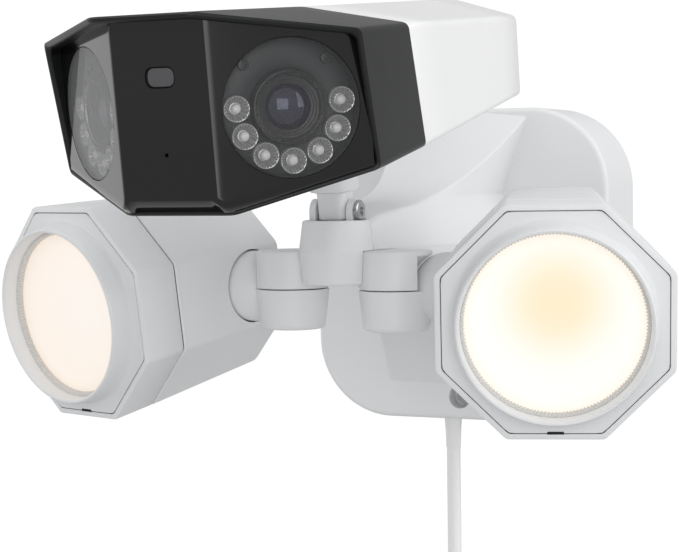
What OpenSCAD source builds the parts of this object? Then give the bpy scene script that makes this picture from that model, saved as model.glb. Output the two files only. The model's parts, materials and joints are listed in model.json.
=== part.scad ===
// Floodlight security camera: a wall base with a sculpted arm, two octagonal floodlights on
// pan and tilt knuckles, and a two-lens camera head on a swivel and a tilt hinge.
// Millimetres. Origin: middle of the wall face, wall plane y = 0, front towards -Y, +Z up.

/* [Wall base] */
// Side of the rounded square wall base
base_w = 176; // [170:1:215]
// Corner radius of the wall base
base_r = 45; // [30:1:60]
// Depth of the wall base, from the wall to its front face
base_depth = 52; // [44:1:64]
// Wall thickness of the base and arm mouldings
shell = 3; // [2:0.5:4]
// Distance between the two wall screws (half of a standard round junction box pattern)
wall_screw_pitch = 88.9; // [70:0.1:100]
// Radius of the wall screw holes
wall_screw_r = 2.5; // [2:0.1:3.5]

/* [Arm] */
// Distance from the wall to the knuckle axes
knuckle_reach = 206; // [180:1:250]
// Half the distance between the two knuckle axes
knuckle_x = 28; // [26:0.5:36]
// Height of the knuckle seam, from the base's middle
seam_z = -3.5; // [-8:0.5:2]
// Radius of the front pad at its widest
pad_r = 18.2; // [17:0.1:22]
// Distance from the knuckle axes forward to the pad's middle
pad_offset = 8; // [6:0.5:12]
// Height of the pad's top
pad_top = 30.2; // [26:0.1:36]
// Height of the joint between the arm's cover and its tray
parting_z = 15.5; // [14:0.1:18]

/* [Knuckles] */
// Radius of the turning disc at its top
disc_r = 18.6; // [16:0.1:20]
// Height of the turning disc
disc_h = 20.4; // [16:0.1:26]
// Height of the fixed cap above the seam
cap_h = 18.8; // [15:0.1:24]
// Radius of the pan pin
pan_pin_r = 5; // [3:0.1:7]
// Radius of the stub that reaches into the light
stub_r = 17.8; // [14:0.1:20]
// Radius of the tilt shaft
tilt_shaft_r = 9; // [6:0.1:12]
// Pan angle of each light at rest, outwards
light_pan = 18.9; // [10:0.1:30]
// Tilt angle of each light at rest, downwards
light_tilt = 7.9; // [0:0.1:20]

/* [Floodlights] */
// Width of the light across its octagon's flats
light_w = 106; // [88:1:128]
// Distance from the pan axis to the light's middle
light_reach = 75.6; // [72:0.1:90]
// Distance from the tilt axis to the light's front face
light_front = 79.1; // [70:0.1:96]
// Length of the light, from front face to rear face
light_len = 101.5; // [90:0.1:125]
// Length of the front frame
frame_len = 24.6; // [18:0.1:30]
// Size of the light where the front frame ends, as a share of its front
frame_taper = 0.97; // [0.94:0.01:1]
// Size of the light's rear face, as a share of its front
rear_taper = 0.86; // [0.8:0.01:0.94]
// Width of the front frame's rim around the bezel
rim_w = 3.2; // [2:0.1:6]
// Radius of the ring hood around the diffuser
hood_ring_r = 44.1; // [38:0.1:46]
// How far the ring hood stands out
hood_ring_h = 11.3; // [6:0.1:16]
// Wall of the ring hood at its lip
hood_ring_wall = 2.4; // [1.5:0.1:4]
// Wall thickness of the light housing
light_wall = 2.6; // [2:0.1:4]

/* [Camera head] */
// Downward tilt of the camera head at rest
head_tilt = 7.9; // [0:0.1:20]
// Half the width of the camera head
head_half = 76; // [72:1:88]
// Distance from the hinge forward to the middle face
face_front = 156; // [140:1:180]
// Half the width of the middle face
mid_half = 22; // [20:0.5:26]
// Angle of each lens face from the middle face
lens_angle = 38.5; // [30:0.5:42]
// Distance from the hinge back to the rear face
head_back = 65; // [50:1:80]
// Radius of each round window
window_r = 28.5; // [24:0.1:28.5]
// Radius of the lens barrel
barrel_r = 15.2; // [12:0.1:16]
// Wall thickness of the head's mouldings
head_wall = 3; // [2:0.1:4]
// Radius of the hinge bolt's head
bolt_head_r = 5.5; // [4:0.1:7]
// Radius of the hinge bolt
bolt_r = 3; // [2:0.1:4]

/* [Mains cord] */
// Diameter of the mains cord
cord_d = 8; // [6:0.1:9]
// Middle radius of the coil
coil_r = 44; // [40:1:52]

/* [Clearances] */
// Radial running clearance of pins and shafts
run_gap = 0.05; // [0.01:0.01:0.1]
// Gap between parts that move past each other
move_gap = 0.5; // [0.3:0.1:1]
// Gap between fixed parts that drop into each other
fit_gap = 0.15; // [0.1:0.05:0.4]

/* [Hidden] */

$fn = 64;
eps = 0.01;
octagon_round = cos(22.5);

// ---- base layout
base_half = base_w / 2;
gasket_t = 2;
bracket_t = 2;
recess_r = 6.4;
recess_depth = 10;
recess_z = -75.1;

// ---- arm layout: stations run from the pad's middle (0) to the base's front face (1)
arm_front = -knuckle_reach;
arm_back = -base_depth;
pad_y = arm_front - pad_offset;
pad_edge_r = pad_r - 1.8;
pad_bottom = seam_z + 2.5;
arm_stations = 18;

function arm_y(s) = arm_front - 3 + (arm_back - arm_front + 3) * s;
function mixed(a, b, s) = a + (b - a) * s;

// Upper half outline at station s: top middle, ramp edge, ridge, shoulder, parting edge.
// Moved inwards by w it is the hollow, whose open side passes the parting plane.
through = 2;
function cover_half(s, w) = [
    [0, pad_top - w - 0.3 + 8 * (1 - exp(-8 * s)) + (base_half - pad_top - 8) * pow(s, 3)],
    [mixed(14, 20, s) + 22 * pow(s, 3) - w,
        pad_top - w - 0.9 + 7 * (1 - exp(-8 * s)) + (base_half - pad_top - 11) * pow(s, 3)],
    [mixed(15, 27, s) - w, pad_top - w - 1.2 + 11 * (1 - pow(1 - s, 3))],
    [mixed(pad_edge_r, 30, s) - w, pad_top - w - 1.6 + 9.5 * pow(s, 1.2)],
    [mixed(pad_r, 60, pow(s, 1.5)) - w, parting_z - (w > 0 ? through : 0)]];

// Lower half outline at station s: parting edge, lower shoulder, ramp top, ramp foot, middle
ramp_foot_z = recess_z + recess_r + 2.5;
function tray_half(s, w) = [
    [mixed(pad_r, 60, pow(s, 1.5)) - w, parting_z + (w > 0 ? through : 0)],
    [mixed(pad_edge_r, 56, pow(s, 1.5)) - w, pad_bottom + w + 0.6 - 2.1 * s],
    [mixed(14, 43, s) - w, pad_bottom + w + 0.3 - 3.7 * s],
    [mixed(13, 43.2, s) - w, pad_bottom + w - 0.6 - 4 * s + (ramp_foot_z + 5) * pow(s, 4)],
    [0, pad_bottom + w - 0.9 - 4.9 * s + (ramp_foot_z + 5) * pow(s, 4)]];

// Right half outline, then its mirror image back up
function mirrored(half) = concat(half,
    [for (i = [len(half) - 1:-1:0]) if (half[i][0] > eps) [-half[i][0], half[i][1]]]);

// ---- knuckles and lights
cap_r = 17.8;
light_half = light_w / 2;
bezel_w = light_w - 2 * rim_w;
bezel_t = 3;
seal_t = 0.8;
diffuser_r = hood_ring_r - hood_ring_wall - fit_gap;
tilt_share = rear_taper + (frame_taper - rear_taper) * (light_len - light_front)
    / (light_len - frame_len);
hub_wall_x = -light_half * tilt_share + 10;
hub_wall_t = 6;
dome_reach = 25.5;

// ---- camera head
hinge_z = pad_top + 4.3;
well_r = 15;
well_depth = pad_top - parting_z - 0.3;
yoke_r = well_r - run_gap * 2;
lens_face_out = [head_half - 2, -face_front + (head_half - 2 - mid_half) * tan(lens_angle)];
window_x = mid_half + 25.9;
window_y = -face_front + 25.9 * tan(lens_angle);
window_z = 64.2;
window_t = 1.6;
board_depth = 10;
ir_ring_r = 21.7;

// ---- cord: exit, and the route of the stretch that isn't coiled
cord_x = -14;
cord_y = -26;
cord_r = cord_d / 2;
coil_c = [-10, -26, -254];
coil_turns = 3;
cord_route = [[cord_x, cord_y, -108], [cord_x, cord_y, -130], [cord_x, cord_y, -155],
    [cord_x, -27, -175], [-16.5, -30, -189], [-23.5, -34, -201], [-33, -36, -211.5],
    [-43, -36, -219.5]];
tail_route = [[30, -42, -250], [30, -48, -236], [26, -50, -222], [17, -50, -211]];
plug_c = [0, -50, -202];
plug_turn = 30;

// ================================================================ helper shapes

// Face without a corner that equals the next one
function no_twins(f) = [for (i = [0:len(f) - 1]) if (f[i] != f[(i + 1) % len(f)]) f[i]];

// Solid through equal outlines, each [x, z] at its own y. Every outline is the same left and
// right with one middle point, first or last, so its ends are made of level strips.
module loft(sections, ys) {
    n = len(sections[0]);
    m = len(sections);
    points = [for (k = [0:m - 1]) for (p = sections[k]) [p[0], ys[k], p[1]]];
    sides = [for (k = [0:m - 2]) for (i = [0:n - 1])
        [k * n + i, (k + 1) * n + i, (k + 1) * n + (i + 1) % n, k * n + (i + 1) % n]];
    shift = sections[0][0][0] == 0 ? 0 : 1;
    front = [for (i = [0:(n - 3) / 2]) no_twins([i, i + 1, n - 1 - i - shift, (n - i - shift) % n])];
    back = [for (f = front) [for (i = [len(f) - 1:-1:0]) (m - 1) * n + f[i]]];
    polyhedron(points = points, faces = concat(front, sides, back), convexity = 8);
}

// Rounded square outline as one polygon
function rounded_square(w, r) = [for (q = [0:3]) for (a = [0:7.5:90])
    let (c = w / 2 - r, sx = (q == 0 || q == 3) ? 1 : -1, sz = q < 2 ? 1 : -1)
    [sx * c + r * cos(a + 90 * q), sz * c + r * sin(a + 90 * q)]];

// Upright slab across y from y0 (towards the wall) to y1 (towards the front)
module slab(y0, y1) {
    translate([0, y0, 0]) rotate([90, 0, 0]) linear_extrude(y0 - y1) children();
}

// Octagonal frustum with flats up and down, from y0 (front) to y1 (back)
module octagon(w0, w1, y0, y1) {
    translate([0, y0, 0]) rotate([-90, 0, 0]) rotate([0, 0, 22.5])
        cylinder(h = y1 - y0, r1 = w0 / 2 / octagon_round, r2 = w1 / 2 / octagon_round, $fn = 8);
}

// Round bar along y from y0 to y1
module bar_y(r, y0, y1) {
    translate([0, y0, 0]) rotate([-90, 0, 0]) cylinder(h = y1 - y0, r = r);
}

// Round bar along x from x0 to x1
module bar_x(r, x0, x1) {
    translate([x0, 0, 0]) rotate([0, 90, 0]) cylinder(h = x1 - x0, r = r);
}

// Round tube swept along a route of points
function unit(v) = v / norm(v);
function heading(p, i) = unit(p[min(i + 1, len(p) - 1)] - p[max(i - 1, 0)]);
function ring_at(p, i, r, sides) = let (d = heading(p, i), u = unit(cross(d, [0, 1, 0.001])),
    v = cross(d, u)) [for (k = [0:sides - 1])
    p[i] + r * (u * cos(360 * k / sides) + v * sin(360 * k / sides))];
module tube(p, r, sides = 10) {
    n = len(p);
    points = [for (i = [0:n - 1]) each ring_at(p, i, r, sides)];
    walls = [for (i = [0:n - 2]) for (k = [0:sides - 1])
        [i * sides + k, (i + 1) * sides + k, (i + 1) * sides + (k + 1) % sides,
            i * sides + (k + 1) % sides]];
    start = [for (k = [0:sides - 1]) k];
    finish = [for (k = [sides - 1:-1:0]) (n - 1) * sides + k];
    polyhedron(points = points, faces = concat([start], walls, [finish]), convexity = 4);
}

// Both lights share one set of modules; the left one is the right one mirrored
module on_side(side) {
    if (side < 0) mirror([1, 0, 0]) children();
    else children();
}

module at_knuckle() {
    translate([knuckle_x, -knuckle_reach, seam_z]) children();
}

module at_pan() {
    at_knuckle() rotate([0, 0, light_pan]) children();
}

module at_light() {
    at_pan() translate([light_reach, 0, 0]) rotate([light_tilt, 0, 0]) children();
}

module at_face() {
    at_light() translate([0, -light_front, 0]) children();
}

module at_head() {
    translate([0, pad_y, hinge_z]) rotate([head_tilt, 0, 0]) children();
}

// Frame on one window: origin in the window's outer face, +Y into the head
module at_window() {
    at_head() translate([window_x, window_y, window_z]) rotate([0, 0, lens_angle]) children();
}

// ================================================================ wall base

module wall_bracket() {
    color("silver") difference() {
        slab(0, -bracket_t) polygon(rounded_square(base_w - 30, base_r - 15));
        for (s = [-1, 1]) translate([s * wall_screw_pitch / 2, 0, 0])
            bar_y(wall_screw_r, -bracket_t - 1, 1);
    }
}

module wall_gasket() {
    color("dimgray") slab(0, -gasket_t) difference() {
        polygon(rounded_square(base_w - 3, base_r - 1.5));
        polygon(rounded_square(base_w - 15, base_r - 7.5));
    }
}

module base_housing() {
    color("whitesmoke") difference() {
        union() {
            difference() {
                slab(-gasket_t, -base_depth) polygon(rounded_square(base_w, base_r));
                slab(1, -base_depth + shell)
                    polygon(rounded_square(base_w - 2 * shell, base_r - shell));
            }
            translate([0, 0, recess_z]) bar_y(recess_r + 2.5, -base_depth + eps,
                -base_depth + recess_depth + shell);
        }
        translate([0, 0, recess_z]) bar_y(recess_r, -base_depth - 1, -base_depth + recess_depth);
        translate([0, 0, recess_z]) bar_y(2.2, -base_depth - 1, -base_depth + 20);
        translate([-18, -base_depth - 1, -2]) cube([36, shell + 2, 28]);
        translate([cord_x, cord_y, -base_half - 1]) cylinder(h = shell + 2, r = gland_r + fit_gap);
    }
}

module cover_screw() {
    color("silver") translate([0, 0, recess_z]) difference() {
        union() {
            bar_y(4, -base_depth + recess_depth - 3, -base_depth + recess_depth);
            bar_y(2, -base_depth + recess_depth - eps, -base_depth + 30);
        }
        for (a = [0, 90]) rotate([0, a, 0])
            translate([-2.6, -base_depth + recess_depth - 3.5, -0.5]) cube([5.2, 2, 1]);
    }
}

// ================================================================ arm

module arm_loft(cover, w, s0, s1) {
    steps = [for (k = [0:arm_stations]) mixed(s0, s1, k / arm_stations)];
    loft([for (s = steps) mirrored(cover ? cover_half(s, w) : tray_half(s, w))],
        [for (s = steps) arm_y(s)]);
}

module pad_half(z0, z1, r0, r1) {
    translate([0, pad_y, z0]) cylinder(h = z1 - z0, r1 = r0, r2 = r1);
}

module swivel_well() {
    translate([0, pad_y, pad_top - well_depth]) cylinder(h = well_depth + 1, r = well_r);
}

module arm_cover() {
    color("whitesmoke") difference() {
        union() {
            arm_loft(true, 0, 0, 1);
            pad_half(parting_z, pad_top, pad_r, pad_edge_r);
        }
        arm_loft(true, shell, 0.12, 1.02);
        swivel_well();
    }
}

module arm_tray() {
    color("gainsboro") difference() {
        union() {
            arm_loft(false, 0, 0, 1);
            pad_half(pad_bottom, parting_z, pad_edge_r, pad_r);
        }
        arm_loft(false, shell, 0.14, 1.02);
        for (side = [-1, 1]) on_side(side) at_knuckle()
            translate([0, 0, -8]) cylinder(h = 40, r = cap_r + fit_gap);
    }
}

// ================================================================ electronics in the base

module driver_board() {
    color("darkgreen") translate([-62, -10, -30]) cube([124, 1.6, 96]);
}

module transformer() {
    color("goldenrod") translate([-50, -34, 8]) {
        cube([34, 24, 30]);
        translate([5, -3, 5]) cube([24, 3.01, 20]);
    }
}

module terminal_block() {
    color("white") difference() {
        translate([-34, -26, -62]) cube([40, 15, 14]);
        for (i = [0:2]) translate([-27 + 13 * i, -27, -55]) bar_y(3, 0, 8);
    }
}

module siren_horn() {
    color("black") translate([44, 0, 12]) difference() {
        bar_y(17, -36, -10);
        bar_y(13, -37, -16);
    }
}

// ================================================================ knuckles

// Ring swept by the stub's dome as the light pans, grown by a gap
module dome_sweep(gap) {
    rotate_extrude() translate([dome_reach, 0]) difference() {
        circle(r = stub_r + gap);
        translate([0, -40]) square([80, 80]);
    }
}

module knuckle_cap() {
    color("whitesmoke") at_knuckle() difference() {
        cylinder(h = cap_h, r1 = cap_r, r2 = cap_r);
        intersection() {
            dome_sweep(move_gap);
            rotate([0, 0, light_pan]) linear_extrude(80, center = true) cap_wedge();
        }
        translate([0, 0, -1]) cylinder(h = 9, r = pan_pin_r + fit_gap);
    }
}

// Sector of the cap that the stub swings through: its own half angle, the travel and a gap
pan_in = 5;
pan_out = 26;
stub_half_angle = asin(stub_r / dome_reach);
sector_in = stub_half_angle + pan_in + 1.5;
sector_out = stub_half_angle + pan_out + 1.5;
module cap_wedge() {
    polygon([[0, 0], [40 * cos(sector_in), -40 * sin(sector_in)], [60, -20], [60, 20],
        [40 * cos(sector_out), 40 * sin(sector_out)]]);
}

module pan_pin() {
    color("silver") at_knuckle() {
        translate([0, 0, -disc_h + 6]) cylinder(h = disc_h - 6 + 7.8, r = pan_pin_r);
        translate([0, 0, -disc_h + 3.2]) cylinder(h = 2.81, r = pan_pin_r + 3);
    }
}

// Round stub along the tilt axis, with a domed inner end
module stub(r, x_end) {
    rotate([0, 90, 0]) rotate_extrude() {
        intersection() {
            translate([0, dome_reach]) circle(r = r);
            translate([0, dome_reach - r]) square([r, r]);
        }
        translate([0, dome_reach]) square([r, x_end - dome_reach]);
    }
}

module knuckle_arm() {
    color("whitesmoke") at_pan() difference() {
        union() {
            rotate_extrude() polygon([[0, -disc_h], [disc_r - 4.2, -disc_h],
                [disc_r - 1.8, -disc_h + 2.5], [disc_r, -move_gap], [0, -move_gap]]);
            stub(stub_r, light_reach + hub_wall_x - move_gap);
            bar_x(tilt_shaft_r, dome_reach, light_reach + hub_wall_x + hub_wall_t + 5);
        }
        translate([0, 0, -disc_h + 3]) cylinder(h = disc_h, r = pan_pin_r + run_gap);
        translate([0, 0, -disc_h + 3]) cylinder(h = 3.2, r = pan_pin_r + 3.4);
        bar_x(4, dome_reach, light_reach);
    }
}

// ================================================================ floodlights

module rear_housing() {
    y0 = frame_len + seal_t;
    back_w = light_w * rear_taper;
    color("whitesmoke") difference() {
        at_face() difference() {
            octagon(light_w * frame_taper, back_w, y0, light_len);
            octagon(light_w * frame_taper - 2 * light_wall, back_w - 2 * light_wall,
                y0 - eps, light_len - light_wall);
        }
        at_light() bar_x(stub_r + move_gap + 0.3, -light_half - 5, hub_wall_x);
    }
    color("whitesmoke") at_light() difference() {
        intersection() {
            bar_x(stub_r + move_gap + 0.3 + light_wall, -light_half, hub_wall_x + hub_wall_t);
            translate([0, -light_front, 0]) octagon(light_w * frame_taper - light_wall,
                back_w - light_wall, y0, light_len - light_wall + eps);
        }
        bar_x(stub_r + move_gap + 0.3, -light_half - 5, hub_wall_x);
        bar_x(tilt_shaft_r + run_gap, -light_half, 20);
    }
}

module front_frame() {
    color("whitesmoke") at_face() difference() {
        octagon(light_w, light_w * frame_taper, 0, frame_len);
        octagon(bezel_w, bezel_w, -1, bezel_t);
        octagon(bezel_w - 6, bezel_w - 6, -1, frame_len + 1);
        translate([-3.5, -1, -light_half + rim_w - 1]) cube([7, bezel_t + 1, 1.2]);
    }
}

module frame_seal() {
    inner = light_w * frame_taper - 2 * light_wall;
    color("dimgray") at_face() difference() {
        octagon(light_w * frame_taper - 1.6, light_w * frame_taper - 1.6, frame_len,
            frame_len + seal_t);
        octagon(inner, inner, frame_len - 1, frame_len + seal_t + 1);
    }
}

module bezel() {
    color("whitesmoke") at_face() difference() {
        union() {
            octagon(bezel_w - 2 * fit_gap, bezel_w - 2 * fit_gap, 0, bezel_t);
            rotate([90, 0, 0]) rotate_extrude() polygon([
                [hood_ring_r - hood_ring_wall, -bezel_t], [hood_ring_r + 2.2, -bezel_t],
                [hood_ring_r + 2.2, 0], [hood_ring_r + 0.6, 2], [hood_ring_r, hood_ring_h - 1],
                [hood_ring_r - 0.8, hood_ring_h], [hood_ring_r - hood_ring_wall, hood_ring_h]]);
        }
        bar_y(hood_ring_r - hood_ring_wall, -hood_ring_h - 1, bezel_t + 1);
    }
}

module diffuser() {
    color("oldlace") at_face() rotate([90, 0, 0]) rotate_extrude() polygon([[0, -3],
        [diffuser_r, -3], [diffuser_r, 0.5], [diffuser_r * 0.94, 1.6], [diffuser_r * 0.6, 2.6],
        [0, 3]]);
}

module reflector() {
    color("white") at_face() rotate([-90, 0, 0]) rotate_extrude() polygon([[26, 21], [28, 21],
        [diffuser_r - 0.4, 5], [diffuser_r - 0.4, 3.2], [diffuser_r - 2.4, 3.2]]);
}

module led_board() {
    color("white") at_face() {
        bar_y(34, 21.2, 22.8);
        for (ring = [[6, 8], [12, 16]]) for (i = [0:ring[0] - 1])
            rotate([0, 360 * i / ring[0], 0]) translate([ring[1] - 1.5, 20, -1.5])
                cube([3, 1.21, 3]);
    }
}

module heat_sink() {
    color("silver") at_face() {
        bar_y(34, 22.8, 27);
        for (i = [-4:4]) translate([i * 6 - 1, 27 - eps, -22]) cube([2, 16, 44]);
    }
}

// ================================================================ camera head

module swivel_yoke() {
    color("whitesmoke") translate([0, pad_y, 0]) difference() {
        union() {
            translate([0, 0, pad_top - well_depth]) cylinder(h = well_depth - 1.2, r = yoke_r);
            translate([8.2, 0, hinge_z]) bar_x(bolt_head_r + 0.6, 0, 3.2);
            translate([8.2, -bolt_head_r - 0.6, pad_top - 2])
                cube([3.2, 2 * bolt_head_r + 1.2, hinge_z - pad_top + 2]);
            translate([-11.4, 0, hinge_z]) bar_x(bolt_head_r + 0.6, 0, 3.2);
            translate([-11.4, -bolt_head_r - 0.6, pad_top - 2])
                cube([3.2, 2 * bolt_head_r + 1.2, hinge_z - pad_top + 2]);
        }
        translate([-7.9, -16, pad_top - 12]) cube([15.8, 32, 40]);
        translate([11.4, -16, pad_top - 6]) cube([10, 32, 40]);
        translate([-16, 0, hinge_z]) bar_x(bolt_r + run_gap, 0, 32);
    }
}

module hinge_bolt() {
    color("silver") translate([0, pad_y, hinge_z]) {
        bar_x(bolt_r, -11.4, 11.5);
        bar_x(bolt_head_r, 11.5, 13.8);
    }
}

// Underside height of the head's middle at distance y from the hinge
function under_z(y) = mixed(seam_heights[3], rear_heights[3],
    (y - seam_depths[3]) / (head_back - seam_depths[3]));

stalk_r = 11.3;
module head_stalk() {
    color("whitesmoke") at_head() difference() {
        union() {
            bar_x(7.2, -7.6, 7.6);
            translate([-7.6, -7.2, 0]) cube([15.2, 14.4, 14]);
            translate([0, 0, 11]) cylinder(h = under_z(0) - 9, r = stalk_r);
            translate([0, 0, under_z(0) - 9]) cylinder(h = 11, r1 = stalk_r, r2 = 15);
        }
        translate([0, 0, under_z(0)]) rotate([under_tilt, 0, 0]) translate([-20, -20, 0])
            cube([40, 40, 20]);
        bar_x(bolt_r + run_gap, -20, 20);
    }
}

// Heights above the hinge: top middle, top corner, bottom corner, bottom middle
rim_heights = [106.3, 94.3, 35.8, 22.1];
seam_heights = [102.3, 92.8, 38.6, 29.2];
rear_heights = [96.5, 86.4, 48, 40];
rim_top = mid_half + 1;
seam_top = mid_half + 6;
rear_top = mid_half * 2;

// Half outline of the head, moved inwards by w
function head_outline(top_mid, h, w) = [
    [top_mid - w * 0.3, h[0] - w], [head_half - w, h[1] - w * 0.9],
    [head_half - w, h[2] + w * 0.8], [mid_half + 3 - w * 0.3, h[3] + w]];

function head_ring(half) = concat(half,
    [for (i = [len(half) - 1:-1:0]) [-half[i][0], half[i][1]]]);

// Solid between two head outlines whose points each have their own depth
module head_loft(outline0, depths0, outline1, depths1) {
    n = 8;
    a = head_ring(outline0);
    b = head_ring(outline1);
    da = concat(depths0, [for (i = [3:-1:0]) depths0[i]]);
    db = concat(depths1, [for (i = [3:-1:0]) depths1[i]]);
    points = concat([for (i = [0:n - 1]) [a[i][0], da[i], a[i][1]]],
        [for (i = [0:n - 1]) [b[i][0], db[i], b[i][1]]]);
    walls = [for (i = [0:n - 1]) [i, n + i, n + (i + 1) % n, (i + 1) % n]];
    front = [[7, 0, 3, 4], [0, 1, 2], [0, 2, 3], [6, 7, 5], [7, 4, 5]];
    back = [for (f = front) [for (i = [len(f) - 1:-1:0]) n + f[i]]];
    polyhedron(points = points, faces = concat(front, walls, back), convexity = 6);
}

rim_depths = [-face_front - 12.8, lens_face_out[1] - 9.4, lens_face_out[1] + 1.4,
    -face_front + 6];
seam_depths = [-78, -75, -63.5, -61];
// Slope of the head's underside behind the seam
under_tilt = atan((rear_heights[3] - seam_heights[3]) / (head_back - seam_depths[3]));
rim_outline = head_outline(rim_top, rim_heights, 0);
seam_outline = head_outline(seam_top, seam_heights, 0);
rear_outline = head_outline(rear_top, rear_heights, 0);
all_back = [1, 1, 1, 1];

// The hollow of a head moulding: its lines run on past the front by a share, and the back too
function run_on(a, b, share) = a + (a - b) * share;
module head_hollow(top0, h0, depths0, top1, h1, depths1, w, ahead, behind) {
    a = head_outline(top0, h0, w);
    b = head_outline(top1, h1, w);
    head_loft(run_on(a, b, ahead), run_on(depths0, depths1, ahead),
        run_on(b, a, behind), run_on(depths1, depths0, behind));
}

module head_hood() {
    color("black") at_head() difference() {
        head_loft(rim_outline, rim_depths, seam_outline, seam_depths);
        head_hollow(rim_top, rim_heights, rim_depths, seam_top, seam_heights, seam_depths,
            head_wall, 0.5, 0.3);
    }
}

module head_body() {
    color("white") at_head() difference() {
        head_loft(seam_outline, seam_depths, rear_outline, head_back * all_back);
        head_hollow(seam_top, seam_heights, seam_depths, rear_top, rear_heights,
            (head_back - head_wall) * all_back, head_wall, 0.15, 0);
    }
}

// Plan outline of the bent face panel
face_t = 2.6;
panel_gap = 1.6;
face_inner = mid_half - face_t * tan(lens_angle / 2);
face_out_x = head_half - head_wall - 0.6;
face_out_y = -face_front + (face_out_x - mid_half) * tan(lens_angle);
face_plan = [[-face_out_x, face_out_y], [-mid_half, -face_front], [mid_half, -face_front],
    [face_out_x, face_out_y], [face_out_x, face_out_y + face_t / cos(lens_angle)],
    [face_inner, -face_front + face_t], [-face_inner, -face_front + face_t],
    [-face_out_x, face_out_y + face_t / cos(lens_angle)]];

sensor_z = 80;
mic_z = 48.4;
mic_r = 1;

// Oval of the presence sensor, wider than tall
module sensor_oval(grow) {
    resize([13.5 + 2 * grow, 8.6 + 2 * grow]) circle(r = 6);
}

module face_panel() {
    color("black") difference() {
        at_head() intersection() {
            linear_extrude(130) polygon(face_plan);
            head_hollow(rim_top, rim_heights, rim_depths, seam_top, seam_heights, seam_depths,
                head_wall + panel_gap, 0.5, 0.3);
        }
        for (side = [-1, 1]) on_side(side) at_window() bar_y(window_r + 0.1, -2, 6);
        at_head() translate([0, -face_front - 1, sensor_z]) rotate([-90, 0, 0])
            linear_extrude(6) sensor_oval(0.1);
        at_head() translate([0, -face_front - 1, mic_z]) bar_y(mic_r, 0, 6);
    }
}

module sensor_window() {
    color("dimgray") at_head() translate([0, -face_front, sensor_z]) rotate([-90, 0, 0])
        linear_extrude(2) sensor_oval(0);
}

module window() {
    color("slategray") at_window() bar_y(window_r, 0, window_t);
}

module barrel() {
    color("black") at_window() difference() {
        bar_y(barrel_r, window_t + 0.6, board_depth + 9);
        bar_y(barrel_r - 1.8, window_t, board_depth + 3);
    }
}

module lens() {
    color("midnightblue") at_window() rotate([-90, 0, 0]) rotate_extrude() polygon([
        [0, 4.2], [6, 4.9], [11, 7], [barrel_r - 1.9, 8.6], [barrel_r - 1.9, 11], [0, 11]]);
}

module ir_board() {
    color("darkslategray") at_window() difference() {
        bar_y(window_r - 1.2, board_depth, board_depth + 1.6);
        bar_y(barrel_r + 0.1, board_depth - 1, board_depth + 3);
    }
}

module ir_leds() {
    color("silver") at_window() for (i = [-3:3]) rotate([0, 180 - i * 31.5, 0])
        translate([0, board_depth, ir_ring_r]) rotate([90, 0, 0]) difference() {
            cylinder(h = 5.5, r = 5.2);
            translate([0, 0, 1.2]) cylinder(h = 4.4, r1 = 2.6, r2 = 4.8);
        }
}

module main_board() {
    color("darkgreen") at_head() {
        translate([-60, -58, 50]) cube([120, 90, 1.6]);
        translate([-20, -30, 51.59]) cube([40, 40, 9]);
    }
}

module reset_cover() {
    color("dimgray") at_head() translate([0, 30, under_z(30)]) rotate([under_tilt, 0, 0])
        difference() {
            translate([-16, -9, -1.5]) cube([32, 18, 1.5]);
            translate([0, 0, -2]) cylinder(h = 0.8, r = 3);
        }
}

// ================================================================ mains cord

gland_r = 6;
gland_end = -108;

module cord_gland() {
    color("white") translate([cord_x, cord_y, 0]) {
        translate([0, 0, gland_end]) cylinder(h = -base_half - gland_end, r1 = cord_r + 0.5,
            r2 = cord_r + 1.2);
        translate([0, 0, -base_half - eps]) cylinder(h = shell + 2 * eps, r = gland_r);
        translate([0, 0, -base_half + shell]) cylinder(h = 6, r = gland_r + 2.5);
    }
}

module cord() {
    color("white") tube(cord_route, cord_r);
}

module cord_tail() {
    color("white") tube(tail_route, cord_r);
}

module cord_coil() {
    color("white") translate(coil_c) rotate([90, 0, 0]) rotate_extrude()
        translate([coil_r - cord_d, -coil_turns * cord_r]) square([2 * cord_d, coil_turns * cord_d]);
}

module cord_tie() {
    w = 2 * cord_d + 1;
    h = coil_turns * cord_d + 1;
    color("black") translate(coil_c) rotate([0, 40, 0]) translate([coil_r, 0, 0]) difference() {
        cube([w + 3, h + 3, 8], center = true);
        cube([w, h, 10], center = true);
    }
}

module plug_body() {
    color("white") translate(plug_c) rotate([0, plug_turn, 0]) {
        translate([-16, -9, -11]) cube([26, 18, 22]);
        translate([9.9, 0, 0]) bar_x(6, 0, 9);
    }
}

module plug_blades() {
    color("silver") translate(plug_c) rotate([0, plug_turn, 0]) {
        for (s = [-1, 1]) translate([-33, -5, s * 6.35 - 0.75]) cube([17, 6.3, 1.5]);
        translate([-36, 5, 0]) bar_x(2.4, 0, 20);
    }
}

// ================================================================ what is drawn

wall_bracket();
wall_gasket();
base_housing();
arm_cover();
arm_tray();
cover_screw();
driver_board();
transformer();
terminal_block();
siren_horn();
cord_gland();
cord();
cord_coil();
cord_tail();
cord_tie();
plug_body();
plug_blades();
for (side = [-1, 1]) on_side(side) {
    p = side < 0 ? "left_" : "right_";
    knuckle_cap();
    pan_pin();
    knuckle_arm();
    rear_housing();
    front_frame();
    frame_seal();
    bezel();
    diffuser();
    reflector();
    led_board();
    heat_sink();
    window();
    barrel();
    lens();
    ir_board();
    ir_leds();
}
swivel_yoke();
hinge_bolt();
head_stalk();
head_body();
head_hood();
face_panel();
sensor_window();
main_board();
reset_cover();
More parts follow.
